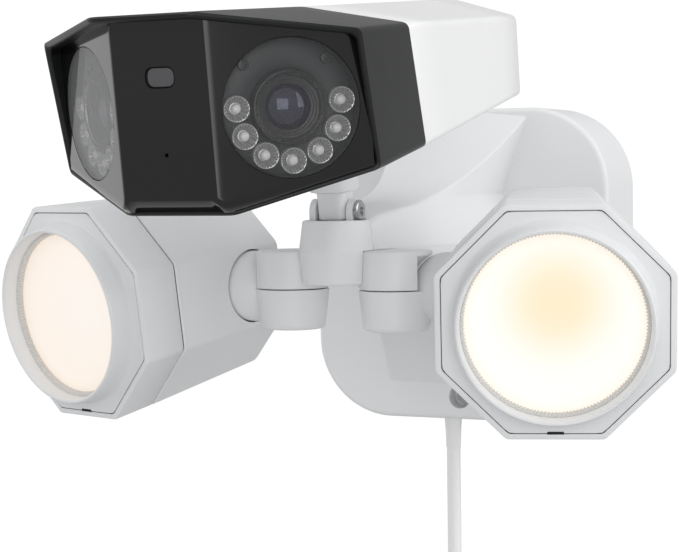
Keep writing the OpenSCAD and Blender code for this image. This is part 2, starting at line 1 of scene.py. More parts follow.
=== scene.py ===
# %% [markdown]
# # A floodlight security camera, from its CAD frame
#
# The real object is a wall base with a sculpted arm, two octagonal floodlights on turning
# knuckles and a two-lens camera head on a hinge. The CAD model already holds every size and
# every joint. This lesson gives it its finish: smooth moulded surfaces in place of faceted
# ones, the small parts that the eye looks for, and a material for each piece.
#
# Two habits run through the whole file. A shape is always a grid of points worked out with
# numpy, one row after another, and never a loop over vertices. A finished piece keeps its
# object at the origin, so its place is in its mesh, like the CAD nodes.

# %% Load the frame
import json
from math import pi

import bmesh
import bpy
import numpy as np
from mathutils import Matrix

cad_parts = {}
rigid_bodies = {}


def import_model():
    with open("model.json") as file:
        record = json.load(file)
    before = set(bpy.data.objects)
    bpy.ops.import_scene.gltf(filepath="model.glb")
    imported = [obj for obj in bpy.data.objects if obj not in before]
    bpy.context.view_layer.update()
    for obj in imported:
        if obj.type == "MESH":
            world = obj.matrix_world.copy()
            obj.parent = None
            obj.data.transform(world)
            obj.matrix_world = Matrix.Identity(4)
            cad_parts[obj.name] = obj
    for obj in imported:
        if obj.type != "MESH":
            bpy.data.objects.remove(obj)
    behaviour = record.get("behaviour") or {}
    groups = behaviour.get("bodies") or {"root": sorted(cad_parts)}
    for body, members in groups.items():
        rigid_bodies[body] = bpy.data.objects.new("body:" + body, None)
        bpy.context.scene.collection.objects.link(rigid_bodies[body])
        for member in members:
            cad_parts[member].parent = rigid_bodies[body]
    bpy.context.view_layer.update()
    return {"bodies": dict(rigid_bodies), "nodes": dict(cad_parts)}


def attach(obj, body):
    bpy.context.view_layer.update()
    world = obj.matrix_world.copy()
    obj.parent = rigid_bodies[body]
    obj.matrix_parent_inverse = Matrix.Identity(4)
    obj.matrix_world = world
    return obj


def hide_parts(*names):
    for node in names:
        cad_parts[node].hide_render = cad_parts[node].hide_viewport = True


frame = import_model()
nodes = frame["nodes"]
MM = 0.001

# %% [markdown]
# ## The camera
#
# The camera stands 25 degrees to the object's right and 3 degrees above it, with a long
# lens, so the perspective is gentle. Its three directions are stated as numbers. A camera
# looks along its own -Z, so the matrix holds right, up and the reverse of forward.

# %% Camera
camera_place = np.array([0.38060, -1.02610, 0.05222])
camera_right = np.array([0.90636, 0.42229, -0.01384])
camera_forward = np.array([-0.42238, 0.90475, -0.05489])
camera_up = np.cross(camera_right, camera_forward)
camera_data = bpy.data.cameras.new("camera")
camera_data.lens = 97.74
camera_data.sensor_width = 36.0
camera_data.sensor_fit = "HORIZONTAL"
camera_data.clip_start = 0.05
camera = bpy.data.objects.new("camera", camera_data)
bpy.context.scene.collection.objects.link(camera)
camera.matrix_world = Matrix(np.vstack([
    np.column_stack([camera_right, camera_up, -camera_forward, camera_place]),
    [0, 0, 0, 1]]).tolist())
bpy.context.scene.camera = camera
print("camera", camera_data.lens, "mm lens at", camera_place)

# %% [markdown]
# ## Tools for surfaces
#
# Three small tools make nearly every piece here. `softened` rounds the corners of an
# outline, because a moulded corner is never sharp. `skin` joins a stack of outlines into one
# closed mesh. `turned` is a skin whose outlines are circles, which is what a lathe makes.
# Sizes are in millimetres, as in the CAD source, and become metres when a mesh is made.

# %% Frames of reference
def turn_x(degrees):
    """Turns about X: y and z are mixed by the sine and cosine of the angle."""
    c, s = np.cos(np.radians(degrees)), np.sin(np.radians(degrees))
    return np.array([[1, 0, 0, 0], [0, c, -s, 0], [0, s, c, 0], [0, 0, 0, 1.0]])


def turn_z(degrees):
    """Turns about Z: x and y are mixed by the sine and cosine of the angle."""
    c, s = np.cos(np.radians(degrees)), np.sin(np.radians(degrees))
    return np.array([[c, -s, 0, 0], [s, c, 0, 0], [0, 0, 1, 0], [0, 0, 0, 1.0]])


def shift(x, y, z):
    """Moves by a step along each axis."""
    m = np.eye(4)
    m[:3, 3] = x, y, z
    return m


KNUCKLE = shift(28, -206, -3.5)
LIGHT_TURN = 18.9       # degrees that each light is turned outwards at rest
LIGHT_TILT = 7.9        # degrees that each light looks down at rest
HEAD_TILT = 7.9
PAN = KNUCKLE @ turn_z(LIGHT_TURN)
LIGHT = PAN @ shift(75.6, 0, 0) @ turn_x(LIGHT_TILT)
FACE = LIGHT @ shift(0, -79.1, 0)
PAD = shift(0, -214, 0)
HEAD = shift(0, -214, 34.5) @ turn_x(HEAD_TILT)
LENS_ANGLE = 38.5
SLOPE = np.tan(np.radians(LENS_ANGLE))
WINDOW_OUT = 25.9       # how far the window's middle lies out from the panel's ridge
WINDOW = HEAD @ shift(22 + WINDOW_OUT, -156 + WINDOW_OUT * SLOPE, 64.2) @ turn_z(LENS_ANGLE)
WORLD = np.eye(4)


def placed(points, matrix):
    """Points carried into the row frame: turned by the matrix, then moved by its last column."""
    points = np.asarray(points, float)
    return points @ matrix[:3, :3].T + matrix[:3, 3]


# %% Outlines
def softened(corners, radius, steps=6):
    """Rounds a closed outline. From each corner it steps back by the radius along both sides,
    and joins the two points by the parabola (1-t)^2 a + 2t(1-t) corner + t^2 b."""
    corners = np.asarray(corners, float)
    before = np.roll(corners, 1, axis=0) - corners
    after = np.roll(corners, -1, axis=0) - corners
    length_b = np.linalg.norm(before, axis=1, keepdims=True)
    length_a = np.linalg.norm(after, axis=1, keepdims=True)
    radius = np.broadcast_to(np.asarray(radius, float).reshape(-1, 1), length_a.shape)
    a = corners + before / length_b * np.minimum(radius, 0.45 * length_b)
    b = corners + after / length_a * np.minimum(radius, 0.45 * length_a)
    t = np.linspace(0, 1, steps)[None, :, None]
    curve = (1 - t) ** 2 * a[:, None] + 2 * t * (1 - t) * corners[:, None] + t ** 2 * b[:, None]
    return curve.reshape(-1, corners.shape[1])


def octagon(width, y, soft=1.6):
    """Octagon across y with flats up and down: eight corners at width / 2 / cos(22.5)."""
    angle = np.radians(22.5 + 45 * np.arange(8))
    r = width / 2 / np.cos(pi / 8)
    ring = np.column_stack([r * np.cos(angle), np.full(8, y), r * np.sin(angle)])
    return softened(ring, soft)


def pole(point, like):
    """A row whose points all lie on one place, so that a skin closes there."""
    return np.tile(np.asarray(point, float), (len(like), 1))


# %% Meshes
def finish_mesh(name, points, faces, sharp=38):
    """Makes a mesh in metres, merges points that coincide, and turns its faces outwards."""
    mesh = bpy.data.meshes.new(name)
    mesh.from_pydata((np.asarray(points) * MM).tolist(), [], faces)
    work = bmesh.new()
    work.from_mesh(mesh)
    bmesh.ops.remove_doubles(work, verts=work.verts, dist=2e-6)
    bmesh.ops.dissolve_degenerate(work, edges=work.edges, dist=1e-6)
    bmesh.ops.recalc_face_normals(work, faces=work.faces)
    work.to_mesh(mesh)
    work.free()
    mesh.shade_smooth()
    mesh.set_sharp_from_angle(angle=np.radians(sharp))
    piece = bpy.data.objects.new(name, mesh)
    bpy.context.scene.collection.objects.link(piece)
    return piece


def grid_faces(rows, columns, loop_rows=False, loop_columns=True):
    """Quads between neighbours of a grid whose point (r, c) has the number r * columns + c."""
    r = np.arange(rows if loop_rows else rows - 1)[:, None]
    c = np.arange(columns if loop_columns else columns - 1)[None, :]
    r2, c2 = (r + 1) % rows, (c + 1) % columns
    quads = np.stack([r * columns + c, r * columns + c2, r2 * columns + c2, r2 * columns + c], -1)
    return quads.reshape(-1, 4).tolist()


def skin(name, outlines, matrix=WORLD, loop=False, sharp=38):
    """A closed surface through a stack of outlines. Ends are closed by poles, or the last
    outline joins the first when loop is set, which makes a wall with a hole through it."""
    grid = np.array(outlines)
    faces = grid_faces(grid.shape[0], grid.shape[1], loop_rows=loop)
    return finish_mesh(name, placed(grid.reshape(-1, 3), matrix), faces, sharp)


AXES = {"x": [2, 0, 1], "y": [0, 2, 1], "z": [0, 1, 2]}


def turned(name, profile, axis, matrix=WORLD, around=96, loop=False, sharp=38):
    """A lathe shape: each (radius, along) of the profile goes round the axis as
    (r cos t, r sin t, along), with its coordinates put in the axis's order."""
    profile = np.asarray(profile, float)
    t = np.linspace(0, 2 * pi, around, endpoint=False)
    r, along = profile[:, :1], profile[:, 1:]
    grid = np.stack([r * np.cos(t), r * np.sin(t), along + 0 * t], -1)[..., AXES[axis]]
    return skin(name, grid, matrix, loop, sharp)


def block(name, low, high, matrix=WORLD, soft=0.6):
    """A box between two corners, as a skin of four rectangles whose corners are softened."""
    (x0, y0, z0), (x1, y1, z1) = low, high
    inset = min(soft, (y1 - y0) / 3)
    ring = lambda y, cut: softened([[x0 + cut, y, z0 + cut], [x1 - cut, y, z0 + cut],
                                    [x1 - cut, y, z1 - cut], [x0 + cut, y, z1 - cut]], soft, 4)
    middle = [(x0 + x1) / 2, y0, (z0 + z1) / 2], [(x0 + x1) / 2, y1, (z0 + z1) / 2]
    a = ring(y0, inset)
    return skin(name, [pole(middle[0], a), a, ring(y0 + inset, 0), ring(y1 - inset, 0),
                       ring(y1, inset), pole(middle[1], a)], matrix)


def applied(piece):
    """The piece with its modifiers worked into its mesh."""
    shown = piece.evaluated_get(bpy.context.evaluated_depsgraph_get())
    mesh = bpy.data.meshes.new_from_object(shown)
    piece.modifiers.clear()
    piece.data = mesh
    return piece


def joined_by(piece, tool, operation, sharp=38):
    """A boolean between two closed meshes; the tool is used up."""
    step = piece.modifiers.new("join", "BOOLEAN")
    step.operation, step.solver, step.object = operation, "EXACT", tool
    applied(piece)
    bpy.data.objects.remove(tool)
    piece.data.shade_smooth()
    piece.data.set_sharp_from_angle(angle=np.radians(sharp))
    return piece


def soft_edges(piece, width, angle=38, segments=3):
    """A small round on every edge that turns by more than the angle, as a mould leaves it."""
    bevel = piece.modifiers.new("soft_edges", "BEVEL")
    bevel.width, bevel.segments = width * MM, segments
    bevel.limit_method, bevel.angle_limit = "ANGLE", np.radians(angle)
    bevel.use_clamp_overlap = True
    bevel.miter_outer = "MITER_ARC"
    normals = piece.modifiers.new("even_shading", "WEIGHTED_NORMAL")
    normals.keep_sharp = True
    return piece


def mirrored(piece, name):
    """The left-hand twin: every x changes sign, and each face runs the other way round."""
    points = np.empty(len(piece.data.vertices) * 3)
    piece.data.vertices.foreach_get("co", points)
    points = points.reshape(-1, 3) * [-1 / MM, 1 / MM, 1 / MM]
    faces = [list(face.vertices)[::-1] for face in piece.data.polygons]
    twin = finish_mesh(name, points, faces)
    for step in piece.modifiers:
        copy = twin.modifiers.new(step.name, step.type)
        for key in ("width", "segments", "limit_method", "angle_limit", "use_clamp_overlap",
                    "miter_outer", "keep_sharp"):
            if hasattr(step, key):
                setattr(copy, key, getattr(step, key))
    return twin


print("surface tools ready")

# %% [markdown]
# ## Finishes
#
# Plastic is never one flat colour. A mould leaves a fine grain, the pigment drifts a little
# from place to place, and dust settles on what faces up. These three effects are node groups,
# built once, so every material can use them with its own numbers. The groups only put out
# colours, values and heights: the shader itself stays in each material.

# %% Node groups
def new_group(name, inputs, outputs):
    """An empty shader group with named sockets, and its input and output nodes."""
    group = bpy.data.node_groups.new(name, "ShaderNodeTree")
    for socket, kind, value in inputs:
        made = group.interface.new_socket(name=socket, in_out="INPUT", socket_type=kind)
        made.default_value = value
    for socket, kind in outputs:
        group.interface.new_socket(name=socket, in_out="OUTPUT", socket_type=kind)
    return group, group.nodes.new("NodeGroupInput"), group.nodes.new("NodeGroupOutput")


def math_node(tree, operation, a, b=0.0):
    """A Math node with two inputs, each a number or another node's output."""
    node = tree.nodes.new("ShaderNodeMath")
    node.operation = operation
    for i, value in enumerate((a, b)):
        if isinstance(value, (int, float)):
            node.inputs[i].default_value = value
        else:
            tree.links.new(value, node.inputs[i])
    return node.outputs[0]


FLOAT, COLOUR, VECTOR = "NodeSocketFloat", "NodeSocketColor", "NodeSocketVector"


def noise(tree, place, scale, detail=3.0, roughness=0.5):
    """A Noise texture on a place, with its scale a number or a link."""
    node = tree.nodes.new("ShaderNodeTexNoise")
    tree.links.new(place, node.inputs["Vector"])
    if isinstance(scale, (int, float)):
        node.inputs["Scale"].default_value = scale
    else:
        tree.links.new(scale, node.inputs["Scale"])
    node.inputs["Detail"].default_value = detail
    node.inputs["Roughness"].default_value = roughness
    return node.outputs["Fac"]


grain, g_in, g_out = new_group("moulded_grain", [
    ("Place", VECTOR, (0, 0, 0)), ("Scale", FLOAT, 1800.0), ("Rough", FLOAT, 0.4),
    ("Vary", FLOAT, 0.08)], [("Height", FLOAT), ("Roughness", FLOAT)])
fine = noise(grain, g_in.outputs["Place"], g_in.outputs["Scale"], 2.0)
cloud = noise(grain, g_in.outputs["Place"], 22.0, 4.0)
swing = math_node(grain, "MULTIPLY", math_node(grain, "SUBTRACT", cloud, 0.5), g_in.outputs["Vary"])
speck = math_node(grain, "MULTIPLY", math_node(grain, "SUBTRACT", fine, 0.5), g_in.outputs["Vary"])
total = math_node(grain, "ADD", math_node(grain, "ADD", g_in.outputs["Rough"], swing), speck)
grain.links.new(fine, g_out.inputs["Height"])
grain.links.new(total, g_out.inputs["Roughness"])

drift, d_in, d_out = new_group("tone_drift", [
    ("Place", VECTOR, (0, 0, 0)), ("Colour", COLOUR, (0.8, 0.8, 0.8, 1)),
    ("Second", COLOUR, (0.7, 0.7, 0.7, 1)), ("Scale", FLOAT, 9.0), ("Amount", FLOAT, 0.5)],
    [("Colour", COLOUR)])
mix = drift.nodes.new("ShaderNodeMix")
mix.data_type = "RGBA"
share = math_node(drift, "MULTIPLY", noise(drift, d_in.outputs["Place"], d_in.outputs["Scale"], 5.0),
                  d_in.outputs["Amount"])
drift.links.new(share, mix.inputs["Factor"])
drift.links.new(d_in.outputs["Colour"], mix.inputs[6])
drift.links.new(d_in.outputs["Second"], mix.inputs[7])
drift.links.new(mix.outputs[2], d_out.inputs["Colour"])

dust, u_in, u_out = new_group("settled_dust", [
    ("Place", VECTOR, (0, 0, 0)), ("Amount", FLOAT, 0.1)], [("Mask", FLOAT)])
facing = dust.nodes.new("ShaderNodeNewGeometry")
split = dust.nodes.new("ShaderNodeSeparateXYZ")
dust.links.new(facing.outputs["Normal"], split.inputs[0])
upward = math_node(dust, "MAXIMUM", split.outputs["Z"], 0.0)
patches = math_node(dust, "MULTIPLY", noise(dust, u_in.outputs["Place"], 60.0, 6.0, 0.6), upward)
dust.links.new(math_node(dust, "MULTIPLY", patches, u_in.outputs["Amount"]), u_out.inputs["Mask"])
print("groups", [g.name for g in bpy.data.node_groups])


# %% Materials from the groups
def use(tree, group, **values):
    """Places a group in a material and sets its inputs, each a value or a link."""
    node = tree.nodes.new("ShaderNodeGroup")
    node.node_tree = group
    for key, value in values.items():
        if isinstance(value, bpy.types.NodeSocket):
            tree.links.new(value, node.inputs[key])
        else:
            node.inputs[key].default_value = value
    return node


def finish(name, colour, second, rough, vary=0.08, scale=1800.0, depth=0.02, dusty=0.05,
           drift_scale=9.0, amount=0.6, stretch=(1, 1, 1), **shader):
    """A moulded or machined finish: drifting colour, grain in roughness and bump, some dust.
    Everything that is the same all over is set on the shader itself."""
    material = bpy.data.materials.new(name)
    material.use_nodes = True
    tree = material.node_tree
    principled = tree.nodes["Principled BSDF"]
    place = tree.nodes.new("ShaderNodeTexCoord").outputs["Object"]
    mapping = tree.nodes.new("ShaderNodeMapping")
    mapping.inputs["Scale"].default_value = stretch
    tree.links.new(place, mapping.inputs["Vector"])
    tone = use(tree, drift, Place=place, Colour=(*colour, 1), Second=(*second, 1),
               Scale=drift_scale, Amount=amount)
    film = use(tree, dust, Place=place, Amount=dusty)
    dusted = tree.nodes.new("ShaderNodeMix")
    dusted.data_type = "RGBA"
    tree.links.new(film.outputs["Mask"], dusted.inputs["Factor"])
    tree.links.new(tone.outputs["Colour"], dusted.inputs[6])
    dusted.inputs[7].default_value = (0.55, 0.53, 0.5, 1)
    surface = use(tree, grain, Place=mapping.outputs[0], Scale=scale, Rough=rough, Vary=vary)
    bump = tree.nodes.new("ShaderNodeBump")
    bump.inputs["Strength"].default_value = 0.35
    bump.inputs["Distance"].default_value = depth * MM
    tree.links.new(surface.outputs["Height"], bump.inputs["Height"])
    tree.links.new(dusted.outputs[2], principled.inputs["Base Color"])
    tree.links.new(surface.outputs["Roughness"], principled.inputs["Roughness"])
    tree.links.new(bump.outputs["Normal"], principled.inputs["Normal"])
    for key, value in shader.items():
        principled.inputs[key.replace("_", " ")].default_value = value
    return material


white_shell = finish("white_shell", (0.85, 0.858, 0.868), (0.82, 0.828, 0.84), 0.42, dusty=0.02)
grey_bezel = finish("grey_bezel", (0.82, 0.83, 0.84), (0.79, 0.80, 0.815), 0.40, dusty=0.02)
# The head gets a lighter, glossier copy of the shell white; its extra lightness is painted light, for the
# light that falls on the head.
head_white_painted_light = finish("head_white_painted_light", (0.92, 0.922, 0.925), (0.90, 0.902, 0.905), 0.30, dusty=0.01)
hood_black = finish("hood_black", (0.010, 0.0105, 0.011), (0.016, 0.017, 0.018), 0.36,
                    depth=0.03, dusty=0.01, Specular_IOR_Level=0.32)
panel_black = finish("panel_black", (0.004, 0.004, 0.0045), (0.007, 0.007, 0.008), 0.10,
                     vary=0.03, depth=0.002, dusty=0.01, Coat_Weight=0.15, Coat_Roughness=0.03)
rubber_black = finish("rubber_black", (0.012, 0.012, 0.012), (0.02, 0.02, 0.02), 0.7, depth=0.05)
# Near-black for gaps, seams and the bottom slot: painted shade, standing in for the shadow that falls
# into them.
gap_shade_black = finish("gap_shade_black", (0.006, 0.006, 0.006), (0.01, 0.01, 0.01), 0.8, depth=0.03)
barrel_black = finish("barrel_black", (0.007, 0.007, 0.008), (0.01, 0.01, 0.011), 0.30,
                      depth=0.02)
board_dark = finish("board_dark", (0.020, 0.021, 0.023), (0.035, 0.037, 0.04), 0.45, depth=0.02)
board_green = finish("board_green", (0.015, 0.11, 0.05), (0.02, 0.16, 0.07), 0.35, depth=0.02,
                     drift_scale=300.0, amount=0.9)
bolt_steel = finish("bolt_steel", (0.50, 0.50, 0.51), (0.42, 0.42, 0.43), 0.28, scale=900.0,
                    stretch=(1, 0.05, 1), depth=0.02, Metallic=1.0)
sink_metal = finish("sink_metal", (0.62, 0.63, 0.64), (0.52, 0.53, 0.54), 0.45, scale=700.0,
                    stretch=(1, 1, 0.05), depth=0.03, Metallic=1.0)
copper_wire = finish("copper_wire", (0.60, 0.28, 0.12), (0.42, 0.18, 0.07), 0.35, scale=1600.0,
                     stretch=(0.03, 1, 1), depth=0.15, Metallic=1.0)
cup_silver = finish("cup_silver", (0.62, 0.62, 0.62), (0.54, 0.545, 0.55), 0.2, depth=0.005,
                    Metallic=0.6)
# The emitter domes are near white: a painted highlight, standing in for the glint on each dome.
led_dome = finish("led_dome", (0.86, 0.855, 0.84), (0.90, 0.895, 0.88), 0.18, depth=0.01,
                  Coat_Weight=0.8, Coat_Roughness=0.04)
sensor_grey = finish("sensor_grey", (0.075, 0.075, 0.08), (0.095, 0.095, 0.10), 0.2, depth=0.01,
                     Coat_Weight=0.5, Coat_Roughness=0.05)
cord_white = finish("cord_white", (0.92, 0.92, 0.92), (0.89, 0.89, 0.885), 0.45, depth=0.04,
                    dusty=0.03)
gloss_white = finish("gloss_white", (0.82, 0.82, 0.82), (0.78, 0.78, 0.78), 0.22, depth=0.01)
lens_glass = finish("lens_glass", (0.010, 0.014, 0.030), (0.03, 0.012, 0.035), 0.05, vary=0.0,
                    depth=0.0, dusty=0.0, drift_scale=60.0, amount=1.0, Coat_Weight=1.0,
                    Coat_Roughness=0.02, Specular_Tint=(0.55, 0.7, 1.0, 1))
# The pane's grey base colour, shown more at grazing angles by the alpha below, is a painted reflection: a
# grey haze over the window.
window_glass = finish("window_glass", (0.23, 0.235, 0.24), (0.27, 0.275, 0.28), 0.04, vary=0.02,
                      depth=0.001, dusty=0.0)
tree = window_glass.node_tree
facing = tree.nodes.new("ShaderNodeLayerWeight")
facing.inputs["Blend"].default_value = 0.5
cover = math_node(tree, "POWER", facing.outputs["Facing"], 2.5)
cover = math_node(tree, "ADD", math_node(tree, "MULTIPLY", cover, 0.85), 0.10)
tree.links.new(cover, tree.nodes["Principled BSDF"].inputs["Alpha"])
print(len(bpy.data.materials), "materials so far")

# %% [markdown]
# ## The mains cord
#
# The cord leaves the base through a tapered strain relief, hangs straight down, and its spare
# length is wound in two layers with a tie round them: three outer turns, and then a little
# over two and a half inner ones. A curve with a round bevel is the natural way to make a
# cord: only its centre line has to be worked out.

# %% Cord
CORD_R = 4.0
route = np.array([[-14, -26, -108], [-14, -26, -130], [-14, -26, -155], [-14, -27, -175],
                  [-16.5, -30, -189], [-23.5, -34, -201], [-33, -36, -211.5],
                  [-43, -36, -219.5]], float)
coil_centre = np.array([-10, 0, -254], float)
tail = np.array([[30, -43, -240], [28, -45.5, -229], [23.5, -48.5, -219], [17, -50, -211]], float)


def smooth_step(share):
    """0 before the step and 1 after it, with 3 s^2 - 2 s^3 between."""
    share = np.clip(share, 0, 1)
    return share * share * (3 - 2 * share)


def layer(radii, start, sweep, first_y, pitch, leave, steps):
    """Flat turns about the coil's axis. Each turn stays in its plane, and between 60% and
    80% of the way round it steps over to the next plane: y = y0 + pitch (turn + smooth step).
    The last turn moves on by leave, to come free of the coil."""
    s = np.linspace(0, 1, steps)[:, None]
    angle = np.radians(start + sweep * s)
    turn, part = np.divmod(s * sweep / 360, 1)
    step = smooth_step((part - 0.6) / 0.2)
    radius = radii[0] + (radii[1] - radii[0]) * smooth_step((s * sweep - 850) / 170)
    y = first_y + pitch * np.minimum(turn + step, 2) + leave * smooth_step(s * sweep / 90 - 9)
    return coil_centre + np.hstack([radius * np.cos(angle), y, radius * np.sin(angle)])


outer = layer((48, 40), 139, 1080, -34, 8, 0, 100)
inner = layer((40, 40), 139 + 14, 935, -18, -8, -8, 86)
centre_line = np.vstack([route, outer, inner, tail])


def smooth_path(points, each=3):
    """Catmull-Rom curve: between two points it follows the cubic that leaves each of them
    along the line through its neighbours."""
    p = np.vstack([2 * points[0] - points[1], points, 2 * points[-1] - points[-2]])
    t = (np.arange(each) / each)[None, :, None]
    a, b, c, d = (p[i:len(p) - 3 + i][:, None] for i in range(4))
    curve = 0.5 * (2 * b + (c - a) * t + (2 * a - 5 * b + 4 * c - d) * t ** 2
                   + (3 * b - a - 3 * c + d) * t ** 3)
    return np.vstack([curve.reshape(-1, 3), points[-1:]])


cord_points = smooth_path(centre_line)
curve = bpy.data.curves.new("mains_cord", "CURVE")
curve.dimensions = "3D"
curve.bevel_depth = CORD_R * MM
curve.bevel_resolution = 5
curve.use_fill_caps = True
strand = curve.splines.new("POLY")
strand.points.add(len(cord_points) - 1)
strand.points.foreach_set("co", np.column_stack([cord_points * MM,
                                                 np.ones(len(cord_points))]).ravel())
strand.use_smooth = True
mains_cord = bpy.data.objects.new("mains_cord", curve)
bpy.context.scene.collection.objects.link(mains_cord)
curve.materials.append(cord_white)

# %% Strain relief, tie and plug
GLAND = shift(-14, -26, 0)
taper = np.linspace(0, 1, 12)
relief_profile = [[0, -108], [4.2, -108],
                  *np.column_stack([4.35 + 0.95 * taper ** 2, -107.6 + 18.6 * taper]),
                  [5.6, -88.6], [7.6, -88.0], [8.0, -87.4], [8.0, -85.2], [5.9, -85.0],
                  [5.9, -79.5], [0, -79.5]]
strain_relief = turned("strain_relief", relief_profile, "z", GLAND, 48)

TIE_ANGLE = np.radians(40)
tie_frame = shift(*coil_centre) @ shift(0, -26, 0) @ np.array([
    [np.cos(TIE_ANGLE), 0, np.sin(TIE_ANGLE), 0], [0, 1, 0, 0],
    [-np.sin(TIE_ANGLE), 0, np.cos(TIE_ANGLE), 0], [0, 0, 0, 1]]) @ shift(44, 0, 0)


def tie_ring(half_w, half_h, z):
    """A rounded rectangle round the bundle of cords at one height along it."""
    return softened([[half_w, half_h, z], [-half_w, half_h, z], [-half_w, -half_h, z],
                     [half_w, -half_h, z]], 3.5, 6)


cord_wrap = skin("cord_wrap", [tie_ring(8.7, 12.7, -3.6), tie_ring(9.9, 13.9, -3.6),
                               tie_ring(9.9, 13.9, 3.6), tie_ring(8.7, 12.7, 3.6)],
                 tie_frame, loop=True)

PLUG = shift(0, -50, -202) @ np.array([
    [np.cos(np.radians(30)), 0, np.sin(np.radians(30)), 0], [0, 1, 0, 0],
    [-np.sin(np.radians(30)), 0, np.cos(np.radians(30)), 0], [0, 0, 0, 1]])


def plug_ring(x, half_y, half_z, soft=3.0):
    """One rounded rectangle of the plug's body, across its length."""
    return softened([[x, half_y, half_z], [x, -half_y, half_z], [x, -half_y, -half_z],
                     [x, half_y, -half_z]], soft, 6)


start_ring = plug_ring(-16, 8.2, 10.2)
plug_shell = skin("plug_shell", [
    pole((-16, 0, 0), start_ring), start_ring, plug_ring(-15.2, 9, 11), plug_ring(-9, 9, 11, 3.2),
    plug_ring(-6, 8.2, 9.6, 4), plug_ring(4, 7.8, 9, 5), plug_ring(8.5, 7.0, 7.6, 6),
    plug_ring(10.4, 5.6, 5.8, 5), plug_ring(13, 5.3, 5.4, 5), plug_ring(14, 4.8, 4.9, 4.6),
    plug_ring(15.2, 5.0, 5.1, 4.8), plug_ring(16.4, 4.6, 4.7, 4.5), plug_ring(18.6, 4.7, 4.7, 4.5),
    pole((18.6, 0, 0), start_ring)], PLUG, sharp=50)
print("plug box", [round(v, 1) for v in np.array(plug_shell.bound_box).ravel()[:3] / MM])

for piece, node, finish_of, slot in (
        (mains_cord, ("cord", "cord_coil", "cord_tail"), None, "cord_jacket"),
        (strain_relief, ("cord_gland",), cord_white, "cord_jacket"),
        (cord_wrap, ("cord_tie",), rubber_black, "rubber"),
        (plug_shell, ("plug_body",), gloss_white, "cord_jacket")):
    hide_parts(*node)
    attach(piece, "base")
    if finish_of:
        piece.data.materials.append(finish_of)

# %% [markdown]
# ## A way to hand a piece over
#
# Every piece is handed over with the same four facts: which CAD nodes it stands for, which body
# carries it, the name of a slot of the record, and its material. The lights, knuckles and
# lenses come in pairs, so their left-hand twins are made by mirroring.

# %% Handing over
def hand_over(piece, body, material, slot, *replaced):
    """Gives a finished piece its material and body, and hides the nodes it replaces. The slot is not
    used.
    """
    piece.data.materials.clear()
    piece.data.materials.append(material)
    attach(piece, body)
    if replaced:
        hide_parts(*replaced)
    return piece


def hand_over_pair(piece, body, material, slot, *replaced):
    """The same for a right-hand piece and its mirrored twin. Names start with right_, and a
    body or node name takes the side's word in front."""
    twin = mirrored(piece, piece.name.replace("right_", "left_"))
    for one, side in ((piece, "right_"), (twin, "left_")):
        its_body = body if body in frame["bodies"] else side + body
        hand_over(one, its_body, material, slot, *[side + node for node in replaced])
    return piece, twin


# %% [markdown]
# ## The wall base
#
# The base is a rounded square tray. Its outline is four softened corners, carried from the
# wall to the front with a small round at the front edge, then inwards to the middle. The
# gland hole and the screw's recess are cut by booleans, because they cross the outline.

# %% Base
def rounded_square(width, radius, y, steps=24):
    """A square whose corners are quarter circles: corner centre plus r (cos t, sin t)."""
    c = width / 2 - radius
    t = np.linspace(0, pi / 2, steps)
    quarter = np.arange(4)[:, None]
    angle = t[None, :] + quarter * pi / 2
    sx, sz = np.array([1, -1, -1, 1])[:, None], np.array([1, 1, -1, -1])[:, None]
    x, z = sx * c + radius * np.cos(angle), sz * c + radius * np.sin(angle)
    return np.stack([x, np.full_like(x, y), z], -1).reshape(-1, 3)


edge = np.linspace(0, pi / 2, 7)
front_edge = [rounded_square(176 - 2 * 3 * (1 - np.cos(a)), 45 - 3 * (1 - np.cos(a)),
                             -49 - 3 * np.sin(a)) for a in edge]
inside = rounded_square(170, 42, -49)
base_shell = skin("base_shell", [
    pole((0, -49, 0), inside), inside, rounded_square(170, 42, -2), rounded_square(175, 44.5, -2),
    rounded_square(176, 45, -2.6), *front_edge, pole((0, -52, 0), inside)])
joined_by(base_shell, turned("cutter", [[0, -60], [6.4, -60], [6.4, -42], [0, -42]], "y",
                             shift(0, 0, -75.1), 64), "DIFFERENCE")
soft_edges(base_shell, 0.5, 50)
hand_over(base_shell, "base", white_shell, "white_shell", "base_housing")
recess_cup = turned("recess_cup", [[6.35, -51.3], [6.35, -42], [0, -42], [0, -39.4], [8.9, -39.4],
                                   [8.9, -49.5], [8.0, -51.3]], "y", shift(0, 0, -75.1), 64)
hand_over(recess_cup, "base", grey_bezel, "white_shell")
print("base", [round(d / MM, 1) for d in base_shell.dimensions])

# %% [markdown]
# ## The arm
#
# The arm widens from the small round pad at its front to the base. Each station along it
# has the same few corners, so the creases run the whole way. The corners are softened, and a
# round pad is joined on at the front. Its upper and lower halves are separate mouldings,
# with a fine line between them.

# %% Arm stations
PAD_R, PAD_EDGE, PAD_TOP, PAD_LOW, PARTING = 18.2, 16.4, 30.2, -1.0, 15.5


def between(a, b, s):
    """The value a share s of the way from a to b."""
    return a + (b - a) * s


def cover_corners(s):
    """Right-hand corners of the upper half at station s, from top middle to parting line.
    The top lifts quickly at first, 1 - exp(-8 s), then sweeps up the base with s cubed."""
    lift, sweep = 1 - np.exp(-8 * s), s ** 3
    return [[0, PAD_TOP - 0.3 + 8 * lift + 49.8 * sweep],
            [between(14, 20, s) + 22 * sweep, PAD_TOP - 0.9 + 7 * lift + 46.8 * sweep],
            [between(15, 27, s), PAD_TOP - 1.2 + 11 * (1 - (1 - s) ** 3)],
            [between(PAD_EDGE, 30, s), PAD_TOP - 1.6 + 9.5 * s ** 1.2],
            [between(PAD_R, 60, s ** 1.5), PARTING]]


